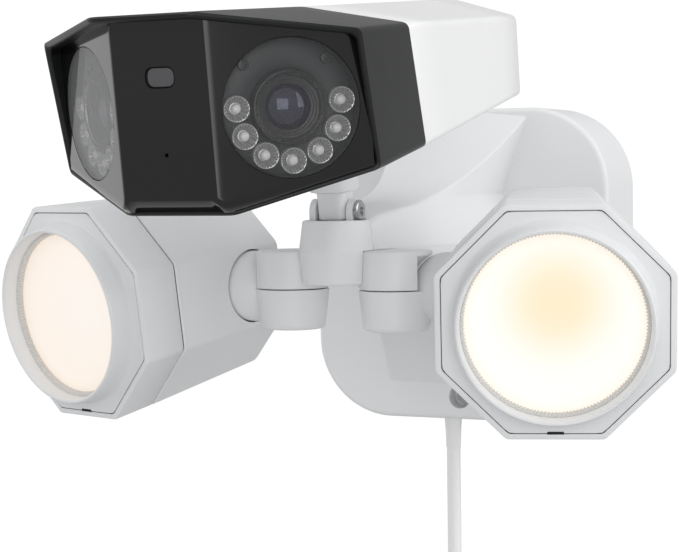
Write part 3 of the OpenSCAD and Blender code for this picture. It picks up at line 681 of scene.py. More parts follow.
def tray_corners(s):
    """Right-hand corners of the lower half at station s, from parting line to foot."""
    drop = -61.2 * s ** 4
    return [[between(PAD_R, 60, s ** 1.5), PARTING],
            [between(PAD_EDGE, 56, s ** 1.5), PAD_LOW + 0.6 - 2.1 * s],
            [between(14, 43, s), PAD_LOW + 0.3 - 3.7 * s],
            [between(13, 43.2, s), PAD_LOW - 0.6 - 4 * s + drop],
            [0, PAD_LOW - 0.9 - 4.9 * s + drop]]


def arm_half(name, corners, soft, order):
    """Softened outlines at even stations from the pad's middle to the base's face."""
    rows = []
    for s in np.linspace(0, 1, 56):
        right = np.array(corners(s))
        left = right[::-1] * [-1, 1]
        keep = left[:-1] if order == "top" else left[1:]
        ring = np.vstack([right, keep])
        y = between(-209, -52, s)
        rows.append(softened(np.insert(ring, 1, y, axis=1), soft[:len(ring)], 6))
    middle = [rows[0].mean(axis=0), rows[-1].mean(axis=0)]
    middle[1][1] = -51.5
    return skin(name, [pole(middle[0], rows[0]), *rows, pole(middle[1], rows[0])], sharp=50)


arm_upper = arm_half("arm_upper", cover_corners,
                     [9, 1.6, 1.2, 3.2, 0.3, 0.3, 3.2, 1.2, 1.6], "top")
arm_lower = arm_half("arm_lower", tray_corners,
                     [0.3, 1.8, 1.4, 1.8, 2, 1.8, 1.4, 1.8, 0.3], "low")
round_in = np.linspace(0, pi / 2, 6)
pad_upper = turned("pad_upper", [[0, PARTING], [PAD_R, PARTING]] + [
    [PAD_EDGE + 0.1 - 1.2 * (1 - np.cos(a)), PAD_TOP - 1.2 + 1.2 * np.sin(a)] for a in round_in]
    + [[0, PAD_TOP]], "z", PAD, 96)
pad_lower = turned("pad_lower", [[0, PAD_LOW]] + [
    [PAD_EDGE + 0.1 - 1.4 * (1 - np.cos(a)), PAD_LOW + 1.4 - 1.4 * np.sin(a)]
    for a in round_in[::-1]] + [[PAD_R, PARTING - 0.02], [0, PARTING - 0.02]], "z", PAD, 96)
joined_by(arm_upper, pad_upper, "UNION")
joined_by(arm_lower, pad_lower, "UNION")
well = turned("cutter", [[0, 15.8], [15, 15.8], [15, 40], [0, 40]], "z", PAD, 96)
joined_by(arm_upper, well, "DIFFERENCE")
for side in (1, -1):
    joined_by(arm_lower, turned("cutter", [[0, -12], [18.0, -12], [18.0, 28], [0, 28]], "z",
                                shift(28 * side, -206, 0), 96), "DIFFERENCE")
hand_over(arm_upper, "base", white_shell, "white_shell", "arm_cover")
hand_over(arm_lower, "base", white_shell, "white_shell", "arm_tray")
print("arm", len(arm_upper.data.vertices), "and", len(arm_lower.data.vertices), "points")

# %% [markdown]
# ## The knuckles
#
# Each light turns on a disc under a fixed cap. The arm that carries the light is a round stub
# with a domed inner end, and the cap is cut away in a sector so the stub can swing. The same
# dome that shapes the stub shapes the cutter, only half a millimetre larger, so the dark line
# between them is even all round.

# %% Caps
STUB_R, DOME = 17.8, 25.5
cap_edge = [[17.8 - 1.3 * (1 - np.cos(a)), 18.8 - 1.3 + 1.3 * np.sin(a)] for a in round_in]
knuckle_cap = turned("right_cap_shell", [[0, 0], [17.5, 0], [17.8, 0.3], *cap_edge, [0, 18.8]],
                     "z", KNUCKLE)
sector = np.radians(np.linspace(LIGHT_TURN - 50.6, LIGHT_TURN + 71.8, 72))
half_disc = np.linspace(pi / 2, 3 * pi / 2, 33)
swing_r = DOME + (STUB_R + 0.45) * np.cos(half_disc)
swing_z = (STUB_R + 0.45) * np.sin(half_disc)
section = np.vstack([np.column_stack([swing_r, swing_z]), [[60, -18.25], [60, 18.25]]])
swing = [np.column_stack([section[:, 0] * np.cos(a), section[:, 0] * np.sin(a), section[:, 1]])
         for a in sector]
swing_tool = skin("cutter", [pole(swing[0].mean(0), swing[0]), *swing,
                             pole(swing[-1].mean(0), swing[0])], KNUCKLE)
joined_by(knuckle_cap, swing_tool, "DIFFERENCE")
soft_edges(knuckle_cap, 0.35, 50)
hand_over_pair(knuckle_cap, "base", white_shell, "white_shell", "knuckle_cap")

# %% Turning arms
disc_edge = [[13.4 + 3.0 * np.sin(a), -17.4 - 3.0 * np.cos(a)] for a in round_in]
turning_arm = turned("right_turning_arm", [[0, -20.4], *disc_edge, [18.3, -0.9], [18.1, -0.5],
                                           [0, -0.5]], "z", PAN)
along = np.concatenate([DOME - STUB_R * np.cos(np.linspace(0, pi / 2, 22)),
                        np.linspace(DOME + 1, 38.0, 16)])
radius = np.where(along < DOME, np.sqrt(np.clip(STUB_R ** 2 - (along - DOME) ** 2, 0, None)),
                  STUB_R)
around = np.linspace(0, 2 * pi, 144, endpoint=False)
flute = np.clip((along - 29.5) / 3.0, 0, 1)[:, None]
ridge = 1.05 * np.abs(np.sin(6 * around[None, :] + 0.10 * (along[:, None] - 30))) ** 0.6
stub_r = radius[:, None] - flute * (1.05 - ridge)
stub_grid = np.stack([along[:, None] + 0 * around[None, :], stub_r * np.cos(around),
                      stub_r * np.sin(around)], -1)
end = pole((38.0, 0, 0), around)
stub = skin("cutter", np.concatenate([stub_grid, end[None]]), PAN, sharp=40)
joined_by(turning_arm, stub, "UNION")
shaft = turned("cutter", [[0, 30], [8.95, 30], [8.95, 49], [0, 49]], "x", PAN, 64)
joined_by(turning_arm, shaft, "UNION")
joined_by(turning_arm, turned("cutter", [[0, -17.4], [5.2, -17.4], [5.2, 3], [0, 3]], "z", PAN, 48),
          "DIFFERENCE")
soft_edges(turning_arm, 0.3, 50)
hand_over_pair(turning_arm, "arm", white_shell, "white_shell", "knuckle_arm")
print("knuckles done", len(turning_arm.data.vertices))

# %% [markdown]
# ## The floodlights
#
# A light is a tapered octagonal box in two mouldings, with a flat front plate that carries a
# round hood. Behind the hood sits a frosted disc with a fine toothed ring round it. All of it
# is drawn in the light's own frame, whose origin is the middle of its front face, and then
# placed by one matrix.

# %% Housing
TAPER = 0.97
REAR_SIZE, REAR_Y, SEAM_Y = 106 * 0.86, 101.5, 24.6
WALL = 2.6
inner_rear = octagon(REAR_SIZE - 2 * WALL, REAR_Y - WALL)
rear_shell = skin("right_rear_shell", [
    pole((0, REAR_Y - WALL, 0), inner_rear), inner_rear,
    octagon(106 * TAPER - 2 * WALL, SEAM_Y + 0.8), octagon(106 * TAPER - 1.2, SEAM_Y + 0.8),
    octagon(106 * TAPER, SEAM_Y + 1.4, 1.8), octagon(REAR_SIZE + 0.2, REAR_Y - 2.2, 2.4),
    octagon(REAR_SIZE - 0.9, REAR_Y - 0.7, 2.6), octagon(REAR_SIZE - 3.2, REAR_Y, 2.8),
    pole((0, REAR_Y, 0), inner_rear)], FACE, sharp=34)
HUB_X = -37.3
joined_by(rear_shell, turned("cutter", [[0, -46.3], [21.2, -46.3], [21.2, HUB_X + 6],
                                        [0, HUB_X + 6]], "x", LIGHT, 72), "UNION")
joined_by(rear_shell, turned("cutter", [[0, -60], [18.65, -60], [18.65, HUB_X], [9.15, HUB_X],
                                        [9.15, HUB_X + 8], [0, HUB_X + 8]], "x", LIGHT, 96),
          "DIFFERENCE")
hand_over_pair(rear_shell, "light", white_shell, "white_shell", "rear_housing")

front_ring = skin("right_front_ring", [
    octagon(104.2, 0), octagon(105.6, 0.35), octagon(106, 1.2, 1.8),
    octagon(106 * TAPER + 0.1, SEAM_Y - 0.6, 1.8), octagon(106 * TAPER - 0.9, SEAM_Y),
    octagon(93.6, SEAM_Y), octagon(93.6, 3.0), octagon(100.5, 3.0), octagon(100.5, 0.3),
    octagon(101.0, 0)], FACE, loop=True, sharp=34)
hand_over_pair(front_ring, "light", white_shell, "white_shell", "front_frame")

# A near-black band down in the groove between the front ring and the front plate: painted shade, the
# shadow in that groove.
gap_shade_line = skin("right_gap_line", [octagon(99.3, 0.45), octagon(100.9, 0.45),
                                   octagon(100.9, 2.9), octagon(99.3, 2.9)], FACE, loop=True)
hand_over_pair(gap_shade_line, "light", gap_shade_black, "rubber")
# The seal ring in the seam between the front ring and the rear shell takes the same near-black, which
# also paints the shadow in that seam.
seam_seal = skin("right_seam_seal", [octagon(99.6, 24.5), octagon(101.0, 24.5),
                                     octagon(101.0, 25.5), octagon(99.6, 25.5)], FACE, loop=True)
hand_over_pair(seam_seal, "light", gap_shade_black, "rubber", "frame_seal")
print("housing", len(rear_shell.data.vertices), "points")

# %% Front plate and hood
t = np.linspace(0, 2 * pi, 144, endpoint=False)


def circle(radius, y):
    """A ring of 144 points at one depth: (r cos t, y, r sin t)."""
    return np.column_stack([radius * np.cos(t), np.full_like(t, y), radius * np.sin(t)])


def octagon_ring(width, y):
    """The octagon at the circle's own angles: radius is width / 2 over the cosine of the
    angle to the nearest flat, with the corners eased by a soft minimum."""
    nearest = (t + pi / 8) % (pi / 4) - pi / 8
    r = width / 2 / np.cos(nearest)
    r = np.minimum(r, width / 2 / np.cos(pi / 8) * 0.994)
    return np.column_stack([r * np.cos(t), np.full_like(t, y), r * np.sin(t)])


HOOD_IN = 41.7
front_plate = skin("right_front_plate", [
    octagon_ring(99.5, 3.0), octagon_ring(99.9, 0.4), octagon_ring(99.5, 0.0),
    circle(47.2, 0.0), circle(45.7, -0.5), circle(44.9, -1.8), circle(44.5, -4.0),
    circle(44.1, -9.8), circle(43.8, -10.8), circle(43.1, -11.3), circle(42.4, -11.2),
    circle(42.0, -10.6), circle(HOOD_IN, -9.0), circle(HOOD_IN, 3.0)], FACE, loop=True, sharp=40)
hand_over_pair(front_plate, "light", grey_bezel, "gloss_white", "bezel")

# The bottom slot is a near-black dash set on the plate, not a cut: painted shade, the shadow inside the
# slot.
slot_shade_mark = block("right_slot_mark", (-3.8, -0.15, -50.5), (3.8, 1.6, -49.0), FACE, 0.25)
hand_over_pair(slot_shade_mark, "light", gap_shade_black, "rubber")

tooth_angle = np.linspace(0, 2 * pi, 960, endpoint=False)
tooth = 0.5 + 0.5 * np.sin(160 * tooth_angle)


def toothed(radius, y, depth):
    """A ring whose radius goes in and out 160 times round, by the tooth depth."""
    r = radius - depth * tooth
    return np.column_stack([r * np.cos(tooth_angle), np.full_like(tooth_angle, y),
                            r * np.sin(tooth_angle)])


tooth_ring = skin("right_tooth_ring", [
    toothed(41.75, -3.2, 0.0), toothed(41.5, -3.4, 0.1), toothed(41.0, -3.0, 0.6),
    toothed(40.4, -0.8, 0.7), toothed(40.6, 0.2, 0.5), toothed(41.75, 0.4, 0.0)], FACE,
    loop=True, sharp=60)
tooth_clear = finish("tooth_clear", (0.72, 0.71, 0.69), (0.60, 0.59, 0.57), 0.25, depth=0.01)
hand_over_pair(tooth_ring, "light", tooth_clear, "diffuser")

# %% [markdown]
# ## The glowing disc
#
# The frosted disc glows warm, with a deeper tone where the emitters sit behind it and a
# paler rim. A colour that depends on the place on the disc needs that place: the mesh gets
# its own UV map, which is simply x and z in the light's frame, scaled to the disc.

# %% Diffuser
DISC_R = 41.3
rings = np.linspace(0, 1, 20)
dome = -3.0 * (1 - rings ** 2.4)
diffuser_rows = [circle(DISC_R * share, y) for share, y in zip(rings, dome)]
diffuser = skin("right_frosted_disc", [*diffuser_rows, circle(DISC_R, 3.0),
                                       pole((0, 3.0, 0), t)], FACE, sharp=50)


def disc_map(piece, matrix, flip):
    """UV map of a disc: x and z in the light's own frame, from -1..1 moved to 0..1."""
    mesh = piece.data
    points = np.empty(len(mesh.vertices) * 3)
    mesh.vertices.foreach_get("co", points)
    local = points.reshape(-1, 3) / MM * [flip, 1, 1] - matrix[:3, 3]
    local = local @ matrix[:3, :3]
    corner = np.empty(len(mesh.loops), dtype=np.int32)
    mesh.loops.foreach_get("vertex_index", corner)
    uv = 0.5 + 0.5 * local[corner][:, [0, 2]] / DISC_R * [flip, 1]
    layer = mesh.uv_layers.new(name="disc")
    layer.data.foreach_set("uv", uv.ravel())


def frosted_glow(name, centre, core, body, rim, core_at, core_size, strength):
    """Frosted plastic lit from behind: the glow's colour goes from core to body to rim with
    the distance from the emitters, on the disc's own UV map."""
    material = finish(name, (0.42, 0.40, 0.38), (0.40, 0.38, 0.36), 0.5, depth=0.02, dusty=0.0,
                      Emission_Strength=strength)
    tree = material.node_tree
    uv = tree.nodes.new("ShaderNodeUVMap")
    uv.uv_map = "disc"

    def distance(x, z):
        """Distance on the disc from one place, in disc radii."""
        step = tree.nodes.new("ShaderNodeVectorMath")
        step.operation = "DISTANCE"
        tree.links.new(uv.outputs[0], step.inputs[0])
        step.inputs[1].default_value = (0.5 + x / 2, 0.5 + z / 2, 0)
        return math_node(tree, "MULTIPLY", step.outputs["Value"], 2.0)

    ramp = tree.nodes.new("ShaderNodeValToRGB")
    ramp.color_ramp.interpolation = "EASE"
    ramp.color_ramp.elements[0].position = 0.12
    ramp.color_ramp.elements[0].color = (*core, 1)
    ramp.color_ramp.elements[1].position = core_size
    ramp.color_ramp.elements[1].color = (*body, 1)
    tree.links.new(distance(*core_at), ramp.inputs["Fac"])
    edge_ramp = tree.nodes.new("ShaderNodeValToRGB")
    edge_ramp.color_ramp.elements[0].position = 0.84
    edge_ramp.color_ramp.elements[0].color = (0, 0, 0, 1)
    edge_ramp.color_ramp.elements[1].position = 1.0
    edge_ramp.color_ramp.elements[1].color = (1, 1, 1, 1)
    tree.links.new(distance(*centre), edge_ramp.inputs["Fac"])
    blend = tree.nodes.new("ShaderNodeMix")
    blend.data_type = "RGBA"
    tree.links.new(edge_ramp.outputs["Color"], blend.inputs["Factor"])
    tree.links.new(ramp.outputs["Color"], blend.inputs[6])
    blend.inputs[7].default_value = (*rim, 1)
    tree.links.new(blend.outputs[2], tree.nodes["Principled BSDF"].inputs["Emission Color"])
    return material


right_glow = frosted_glow("right_glow", (0, 0), (0.95, 0.74, 0.42), (1.0, 0.97, 0.92),
                          (0.97, 0.88, 0.74), (0.02, 0.24), 0.85, 0.72)
left_glow = frosted_glow("left_glow", (0, 0), (1.0, 0.92, 0.84), (1.0, 0.89, 0.79),
                         (0.93, 0.80, 0.66), (0.35, 0.1), 1.1, 0.66)
left_disc = mirrored(diffuser, "left_frosted_disc")
for disc, glow, flip, side in ((diffuser, right_glow, 1, "right"), (left_disc, left_glow, -1, "left")):
    hand_over(disc, side + "_light", glow, "diffuser", side + "_diffuser")
    disc_map(disc, FACE, flip)
print("disc", len(diffuser.data.vertices), "points")

# %% [markdown]
# ## The camera head
#
# The head is a faceted tube whose ends are cut at a slant: every corner of an outline has
# its own depth. The black hood and the white body share their seam outline, so they meet
# without a step. Walls are made by running the same outline back inside.

# %% Head outlines
HEAD_HALF, WALL_H = 76, 3.0


def head_outline(top, heights, depths, inset=0.0, soft=3.0):
    """Eight corners, four to the right and their mirror image, each with its own depth."""
    corners = np.array([
        [top - inset * 0.3, depths[0], heights[0] - inset],
        [HEAD_HALF - inset, depths[1], heights[1] - inset * 0.9],
        [HEAD_HALF - inset, depths[2], heights[2] + inset * 0.8],
        [25 - inset * 0.3, depths[3], heights[3] + inset]])
    ring = np.vstack([corners, corners[::-1] * [-1, 1, 1]])
    return softened(ring, soft, 7)


RIM = (23, (106.3, 94.3, 35.8, 22.1), np.array([-168.8, -124.1, -113.3, -150.0]))
SEAM = (28, (102.3, 92.8, 38.6, 29.2), np.array([-78, -75, -63.5, -61.0]))
REAR = (44, (96.5, 86.4, 48, 40), np.array([65.0, 65, 65, 65]))


def along_head(a, b, share, inset=0.0, soft=3.0):
    """The outline a share of the way from a to b, all corners in proportion."""
    mixed = [between(np.asarray(x, float), np.asarray(y, float), share) for x, y in zip(a, b)]
    return head_outline(mixed[0], mixed[1], mixed[2], inset, soft)


steps = np.linspace(0, 1, 6)
hood_shell = skin("hood_shell", [
    along_head(RIM, SEAM, 0.004, 2.2), along_head(RIM, SEAM, 0.0, 1.7), along_head(RIM, SEAM, 0.0, 0.9),
    along_head(RIM, SEAM, 0.010, 0.15), *[along_head(RIM, SEAM, s) for s in steps[1:-1]],
    along_head(RIM, SEAM, 0.996, 0.0), along_head(RIM, SEAM, 1.0, 0.35),
    along_head(RIM, SEAM, 1.0, WALL_H), along_head(RIM, SEAM, 0.5, WALL_H),
    along_head(RIM, SEAM, 0.02, WALL_H)], HEAD, loop=True, sharp=50)
hand_over(hood_shell, "head", hood_black, "black_hood", "head_hood")

rear_in = along_head(SEAM, REAR, 0.975, WALL_H)
head_shell = skin("head_shell", [
    pole((0, 62, 68), rear_in), rear_in, along_head(SEAM, REAR, 0.5, WALL_H),
    along_head(SEAM, REAR, 0.0, WALL_H), along_head(SEAM, REAR, 0.0, 0.35),
    along_head(SEAM, REAR, 0.003, 0.0), *[along_head(SEAM, REAR, s) for s in steps[1:-1]],
    along_head(SEAM, REAR, 0.975, 0.0), along_head(SEAM, REAR, 0.99, 0.7),
    along_head(SEAM, REAR, 1.0, 2.6), pole((0, 65, 68), rear_in)], HEAD, sharp=50)
hand_over(head_shell, "head", head_white_painted_light, "white_shell", "head_body")
print("head", [round(d / MM, 1) for d in hood_shell.dimensions], len(head_shell.data.vertices))

# %% [markdown]
# ## The face panel
#
# One glossy panel bends across the front: flat in the middle, then turned back by 38.5
# degrees on each side for the lenses. It is a grid in two parameters. One runs across, along
# the bent line in plan, and the other runs up, from the hood's floor to its roof.

# %% Face panel
MID, FACE_Y = 22.0, -156.0
crease, EASE = np.linspace(-1, 1, 7), 0.5
half_plan = np.concatenate([np.linspace(0, MID - EASE, 10), MID + EASE * crease[1:-1],
                            np.linspace(MID + EASE, 73.6, 34)])
x_across = np.concatenate([-half_plan[:0:-1], half_plan])
past = np.abs(x_across) - MID
ramp = np.where(past > EASE, past, np.where(past < -EASE, 0, (past + EASE) ** 2 / (4 * EASE)))
y_across = FACE_Y + SLOPE * ramp


def hood_line(x, y, at_mid, at_side, mid_x):
    """Height of the hood's inner roof or floor at one place: first along the depth between
    the rim and the seam, then across between the middle and the side corner."""
    i, j = at_mid
    depth_mid = (y - RIM[2][i]) / (SEAM[2][i] - RIM[2][i])
    depth_side = (y - RIM[2][j]) / (SEAM[2][j] - RIM[2][j])
    mid = between(RIM[1][i], SEAM[1][i], depth_mid)
    side = between(RIM[1][j], SEAM[1][j], depth_side)
    share = np.clip((np.abs(x) - mid_x) / (HEAD_HALF - mid_x), 0, 1)
    return between(mid, side, share) + at_side


roof = hood_line(x_across, y_across, (0, 1), -2.2, 24.5)
floor_line = hood_line(x_across, np.maximum(y_across, -150), (3, 2), 2.2, 25)
lip = np.interp(np.abs(x_across), [0, MID - 3, MID + 2, 40, 74], [5.6, 5.6, 2.6, 1.4, 0.9])
rows = []
for share in np.linspace(0, 1, 26):
    rows.append(np.column_stack([x_across, y_across, between(floor_line + lip, roof, share)]))
chamfer = [np.column_stack([x_across, y_across + back, floor_line + lip - drop_z])
           for back, drop_z in ((0.15, 0.35), (0.55, 0.75))]
foot = np.column_stack([x_across, y_across + 0.55 + 1.05 * lip, floor_line - 0.4])
backs = [np.column_stack([x_across * 0.985, np.maximum(y_across + 3.4, y_across + 1.6 * lip), h])
         for h in (floor_line - 0.4, roof)]
panel_rows = [foot, *chamfer[::-1], *rows, backs[1], backs[0]]
grid = np.array(panel_rows)
panel_faces = grid_faces(grid.shape[0], grid.shape[1], loop_rows=True, loop_columns=False)
count = grid.shape[0]
ends = [[r * grid.shape[1] for r in range(count)][::-1],
        [r * grid.shape[1] + grid.shape[1] - 1 for r in range(count)]]
face_shell = finish_mesh("face_shell", placed(grid.reshape(-1, 3), HEAD), panel_faces + ends, 50)
right_hole = turned("cutter", [[0, -4], [28.7, -4], [28.7, 8], [0, 8]], "y", WINDOW, 128)
left_hole = mirrored(right_hole, "left_cutter")
joined_by(face_shell, right_hole, "DIFFERENCE", 50)
joined_by(face_shell, left_hole, "DIFFERENCE", 50)


def oval(half_w, half_h, y, z):
    """A racetrack outline: a rectangle whose corners are softened by nearly half its height."""
    ring = [[half_w, y, z - half_h], [half_w, y, z + half_h], [-half_w, y, z + half_h],
            [-half_w, y, z - half_h]]
    return softened(ring, half_h * 0.9, 10)


ring = oval(6.9, 4.4, FACE_Y, 80)
joined_by(face_shell, skin("cutter", [pole((0, FACE_Y - 2, 80), ring), oval(6.9, 4.4, FACE_Y - 2, 80),
                                      oval(6.9, 4.4, FACE_Y + 1.3, 80),
                                      pole((0, FACE_Y + 1.3, 80), ring)], HEAD), "DIFFERENCE", 50)
joined_by(face_shell, turned("cutter", [[0, -2], [0.9, -2], [0.9, 3], [0, 3]], "y",
                             HEAD @ shift(0, FACE_Y, 48.4), 32), "DIFFERENCE", 50)
hand_over(face_shell, "head", panel_black, "gloss_black", "face_panel")
print("face panel", len(face_shell.data.vertices), "points")

# %% Presence sensor window
sensor_lens = skin("sensor_lens", [
    pole((0, FACE_Y + 0.35, 80), ring), oval(2.6, 1.6, FACE_Y + 0.36, 80),
    oval(5.4, 3.2, FACE_Y + 0.42, 80), oval(6.1, 3.75, FACE_Y + 0.6, 80),
    oval(6.2, 3.85, FACE_Y + 1.6, 80), pole((0, FACE_Y + 1.6, 80), ring)], HEAD, sharp=60)
hand_over(sensor_lens, "head", sensor_grey, "gloss_white", "sensor_window")
sensor_rim = skin("sensor_rim", [oval(6.2, 3.9, FACE_Y + 0.5, 80), oval(6.45, 4.1, FACE_Y + 0.1, 80),
                                 oval(6.8, 4.35, FACE_Y + 0.5, 80),
                                 oval(6.5, 4.0, FACE_Y + 1.2, 80)], HEAD, loop=True, sharp=60)
hand_over(sensor_rim, "head", hood_black, "gloss_black")

# %% [markdown]
# ## Behind the round windows
#
# Each window covers a dark board with seven infrared emitters in silvery cups, two small
# screws and the lens. The cups catch most of the eye, so their walls are fluted: the radius
# is a little larger and smaller 36 times round. One grid makes a cup, and one array of seven
# matrices places them all, without a loop over points.

# %% Windows and boards
pane = turned("right_pane", [[0, 0.05], [28.2, 0.05], [28.45, 0.25], [28.45, 1.3], [28.2, 1.5],
                             [0, 1.5]], "y", WINDOW, 128)
hand_over_pair(pane, "head", window_glass, "glass", "window")
pocket = turned("right_pocket", [[28.6, 0.9], [28.6, 11.4], [0, 11.4], [0, 13.0], [30, 13.0],
                                 [30, 2.8], [29.4, 2.2]], "y", WINDOW, 128)
hand_over_pair(pocket, "head", rubber_black, "rubber")
emitter_board = turned("right_emitter_board", [
    [15.6, 8.6], [16.4, 8.2], [27.2, 8.2], [27.8, 8.6], [27.8, 9.8], [15.6, 9.8]], "y", WINDOW, 128,
    loop=True)
hand_over_pair(emitter_board, "head", board_dark, "board", "ir_board")

cup_t = np.linspace(0, 2 * pi, 72, endpoint=False)
cup_profile = np.array([[5.45, 8.3], [5.5, 3.4], [5.3, 3.1], [5.0, 3.2], [4.2, 4.6], [3.2, 6.0],
                        [2.6, 6.6], [2.45, 6.9]])
flutes = np.array([0, 0, 0.02, 0.06, 0.16, 0.18, 0.06, 0])[:, None]
cup_r = cup_profile[:, :1] * (1 + flutes * np.sign(np.sin(24 * cup_t)) * 0.6)
cup_grid = np.stack([cup_r * np.cos(cup_t), cup_profile[:, 1:] + 0 * cup_t, cup_r * np.sin(cup_t)], -1)
led_profile = np.array([[2.1, 6.9], [2.1, 5.0], [1.95, 4.3], [1.55, 3.75], [0.9, 3.4], [0, 3.3]])
led_grid = np.stack([led_profile[:, :1] * np.cos(cup_t), led_profile[:, 1:] + 0 * cup_t,
                     led_profile[:, :1] * np.sin(cup_t)], -1)
base_row = pole((0, 8.3, 0), cup_t)[None]
led_base = pole((0, 6.9, 0), cup_t)[None]
EMITTER_RING = 21.9
emitter_angles = np.radians(-90 + 31.0 * np.arange(-3, 4))
emitter_places = np.stack([EMITTER_RING * np.cos(emitter_angles), 0 * emitter_angles,
                           EMITTER_RING * np.sin(emitter_angles)], -1)


def repeated(name, grid, places, matrix):
    """One grid set down at many places: its points plus each place, and its faces numbered
    on from the copy before."""
    rows_n, columns_n = grid.shape[:2]
    points = (grid.reshape(1, -1, 3) + places[:, None, :]).reshape(-1, 3)
    one = np.array(grid_faces(rows_n, columns_n))
    faces = one[None] + (np.arange(len(places)) * rows_n * columns_n)[:, None, None]
    return finish_mesh(name, placed(points, matrix), faces.reshape(-1, 4).tolist(), 40)


cups = repeated("right_emitter_cups", np.concatenate([base_row, cup_grid, led_base]), emitter_places,
                WINDOW)
hand_over_pair(cups, "head", cup_silver, "gloss_white", "ir_leds")
domes = repeated("right_emitter_domes", np.concatenate([led_base, led_grid]), emitter_places, WINDOW)
hand_over_pair(domes, "head", led_dome, "gloss_white")

screw_angles = np.radians([47.0, 133.0])
screw_places = np.stack([25.2 * np.cos(screw_angles), 0 * screw_angles, 25.2 * np.sin(screw_angles)], -1)
screw_profile = np.array([[0, 8.2], [2.3, 8.2], [2.3, 6.9], [2.0, 6.5], [1.1, 6.4], [0.9, 7.2], [0, 7.2]])
screw_grid = np.stack([screw_profile[:, :1] * np.cos(cup_t), screw_profile[:, 1:] + 0 * cup_t,
                       screw_profile[:, :1] * np.sin(cup_t)], -1)
board_screws = repeated("right_board_screws", screw_grid, screw_places, WINDOW)
hand_over_pair(board_screws, "head", barrel_black, "gloss_black")
print("emitters", len(cups.data.vertices), "points")

# %% Lens
barrel_tube = turned("right_lens_barrel", [
    [15.2, 18.9], [15.2, 2.9], [15.0, 2.4], [14.6, 2.3], [14.2, 2.5], [14.0, 3.1], [13.4, 3.3],
    [13.3, 4.2], [12.9, 4.4], [12.7, 5.0], [11.6, 5.1], [11.5, 5.9], [10.6, 6.0], [10.5, 6.8],
    [9.6, 6.9], [9.4, 8.4], [9.3, 12], [13.3, 12.2], [13.4, 18.9]], "y", WINDOW, 128, loop=True,
    sharp=30)
hand_over_pair(barrel_tube, "head", barrel_black, "black_hood", "barrel")
bow = np.linspace(0, 1, 14)
front_glass = turned("right_front_glass", [*np.column_stack([9.5 * bow, 4.2 + 3.8 * bow ** 2]),
                                           [9.5, 9.0], [0, 9.0]], "y", WINDOW, 96, sharp=50)
hand_over_pair(front_glass, "head", lens_glass, "lens_glass", "lens")
bright_ring = turned("right_lens_ring", [[13.95, 2.55], [13.75, 2.75], [13.6, 3.2], [13.9, 3.2]], "y",
                     WINDOW, 128, loop=True)
hand_over_pair(bright_ring, "head", bolt_steel, "steel")
print("lens done")

# %% [markdown]
# ## Swivel and hinge
#
# Under the head a turned post runs down into a round well in the pad. A bolt passes through
# its two cheeks. The post is short and mostly in shadow, but its bolt head and the dark slot
# round it are easy to see from the front.

# %% Stalk and yoke
def post_ring(half_x, half_y, z, soft):
    """One rounded rectangle of the post at a height."""
    return softened([[half_x, half_y, z], [-half_x, half_y, z], [-half_x, -half_y, z],
                     [half_x, -half_y, z]], soft, 10)


post_rows = [post_ring(7.5, 7.0, -3, 5), post_ring(7.5, 7.2, 6, 5), post_ring(7.5, 7.2, 9.6, 4),
             post_ring(10.9, 10.9, 10.4, 10.5), post_ring(11.3, 11.3, 11.2, 10.8),
             post_ring(11.3, 11.3, 24, 10.8), post_ring(11.9, 11.9, 28, 11.4),
             post_ring(13.4, 13.4, 31.5, 12.8), post_ring(15, 15, 34.8, 14.4)]
post = skin("head_post", [pole((0, 0, -4.5), post_rows[0]), post_ring(5, 5, -4.5, 4), *post_rows,
                          pole((0, 0, 34.8), post_rows[0])], HEAD, sharp=50)
joined_by(post, turned("cutter", [[0, -20], [3.05, -20], [3.05, 20], [0, 20]], "x", HEAD, 48),
          "DIFFERENCE", 50)
hand_over(post, "head", white_shell, "white_shell", "head_stalk")

bolt_head = turned("bolt_head", [
    [0, -11.4], [2.95, -11.4], [2.95, 11.4], [5.5, 11.5], [5.5, 13.0], [5.1, 13.5], [4.2, 13.8],
    [2.2, 13.8], [1.9, 12.6], [0, 12.6]], "x", shift(0, -214, 34.5), 64)
hand_over(bolt_head, "swivel", bolt_steel, "steel", "hinge_bolt")

# %% [markdown]
# ## Finishes for the parts that stay as they are
#
# The parts inside, and a few small ones outside, already have their right shape. They keep
# their CAD mesh and get a material each.

# %% Carried-over parts
carried = {
    "wall_bracket": sink_metal, "wall_gasket": rubber_black, "cover_screw": bolt_steel,
    "driver_board": board_green, "transformer": copper_wire, "terminal_block": gloss_white,
    "siren_horn": barrel_black, "plug_blades": bolt_steel, "left_pan_pin": bolt_steel,
    "right_pan_pin": bolt_steel, "left_reflector": gloss_white, "right_reflector": gloss_white,
    "left_led_board": gloss_white, "right_led_board": gloss_white, "left_heat_sink": sink_metal,
    "right_heat_sink": sink_metal, "swivel_yoke": white_shell, "main_board": board_green,
    "reset_cover": rubber_black}
for name, material in carried.items():
    nodes[name].data.materials.clear()
    nodes[name].data.materials.append(material)
print("carried over", len(carried))

# %% [markdown]
# ## Studio
#
# A plain white sweep, soft boxes on both sides and above, and a bright, even surround. The
# black panel needs something bright to mirror on its left, which one tall box gives.

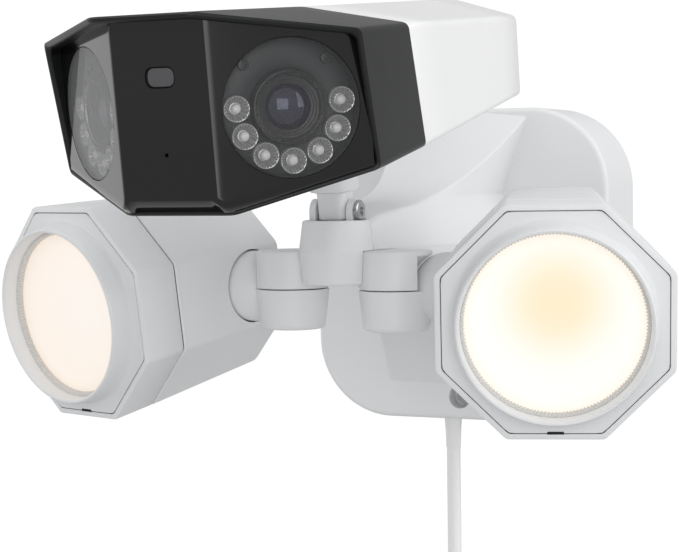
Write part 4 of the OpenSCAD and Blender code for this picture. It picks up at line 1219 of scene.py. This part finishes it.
# %% Floor, lights and surround
floor = bpy.data.meshes.new("studio_floor")
floor.from_pydata([(-6, -6, -1.3), (6, -6, -1.3), (6, 6, -1.3), (-6, 6, -1.3)], [], [(0, 1, 2, 3)])
studio_floor = bpy.data.objects.new("studio_floor", floor)
bpy.context.scene.collection.objects.link(studio_floor)
paper = bpy.data.materials.new("studio_paper")
paper.use_nodes = True
tree = paper.node_tree
glow = tree.nodes.new("ShaderNodeEmission")
seen = tree.nodes.new("ShaderNodeLightPath")
level = math_node(tree, "ADD", math_node(tree, "MULTIPLY", seen.outputs["Is Camera Ray"], 0.56), 0.47)
tree.links.new(level, glow.inputs["Strength"])
tree.links.new(glow.outputs[0], tree.nodes["Material Output"].inputs["Surface"])
floor.materials.append(paper)

world = bpy.data.worlds.new("surround")
bpy.context.scene.world = world
world.use_nodes = True
tree = world.node_tree
seen = tree.nodes.new("ShaderNodeLightPath")
level = math_node(tree, "ADD", math_node(tree, "MULTIPLY", seen.outputs["Is Camera Ray"], 0.52), 0.52)
tree.links.new(level, tree.nodes["Background"].inputs["Strength"])
tree.nodes["Background"].inputs["Color"].default_value = (1, 1, 1, 1)


def soft_box(name, place, aim, width, height, power):
    """An area light at a place, turned towards a point, in metres and watts."""
    lamp = bpy.data.lights.new(name, "AREA")
    lamp.shape, lamp.size, lamp.size_y, lamp.energy = "RECTANGLE", width, height, power
    holder = bpy.data.objects.new(name, lamp)
    bpy.context.scene.collection.objects.link(holder)
    away = np.array(place, float) - np.array(aim, float)
    back = away / np.linalg.norm(away)
    side = np.cross([0, 0, 1], back)
    side /= np.linalg.norm(side)
    rise = np.cross(back, side)
    holder.matrix_world = Matrix(np.vstack([np.column_stack([side, rise, back, place]),
                                            [0, 0, 0, 1]]).tolist())
    return holder


soft_box("top_box", (-0.1, -0.4, 1.5), (0, -0.2, 0), 1.6, 1.2, 6)
soft_box("right_box", (1.6, 0.1, 0.5), (0, -0.15, 0.05), 1.2, 1.4, 11)
soft_box("left_box", (-1.5, -0.9, 0.4), (0, -0.25, 0.05), 0.9, 1.6, 3.5)
soft_box("front_box", (0.8, -1.9, 0.1), (0, -0.25, 0), 1.3, 1.3, 10)
soft_box("mirror_box", (-1.25, 0.32, -0.02), (0, -0.28, 0.07), 0.7, 1.1, 1.6)
bpy.context.scene.view_settings.view_transform = "Standard"
bpy.context.scene.view_settings.look = "None"
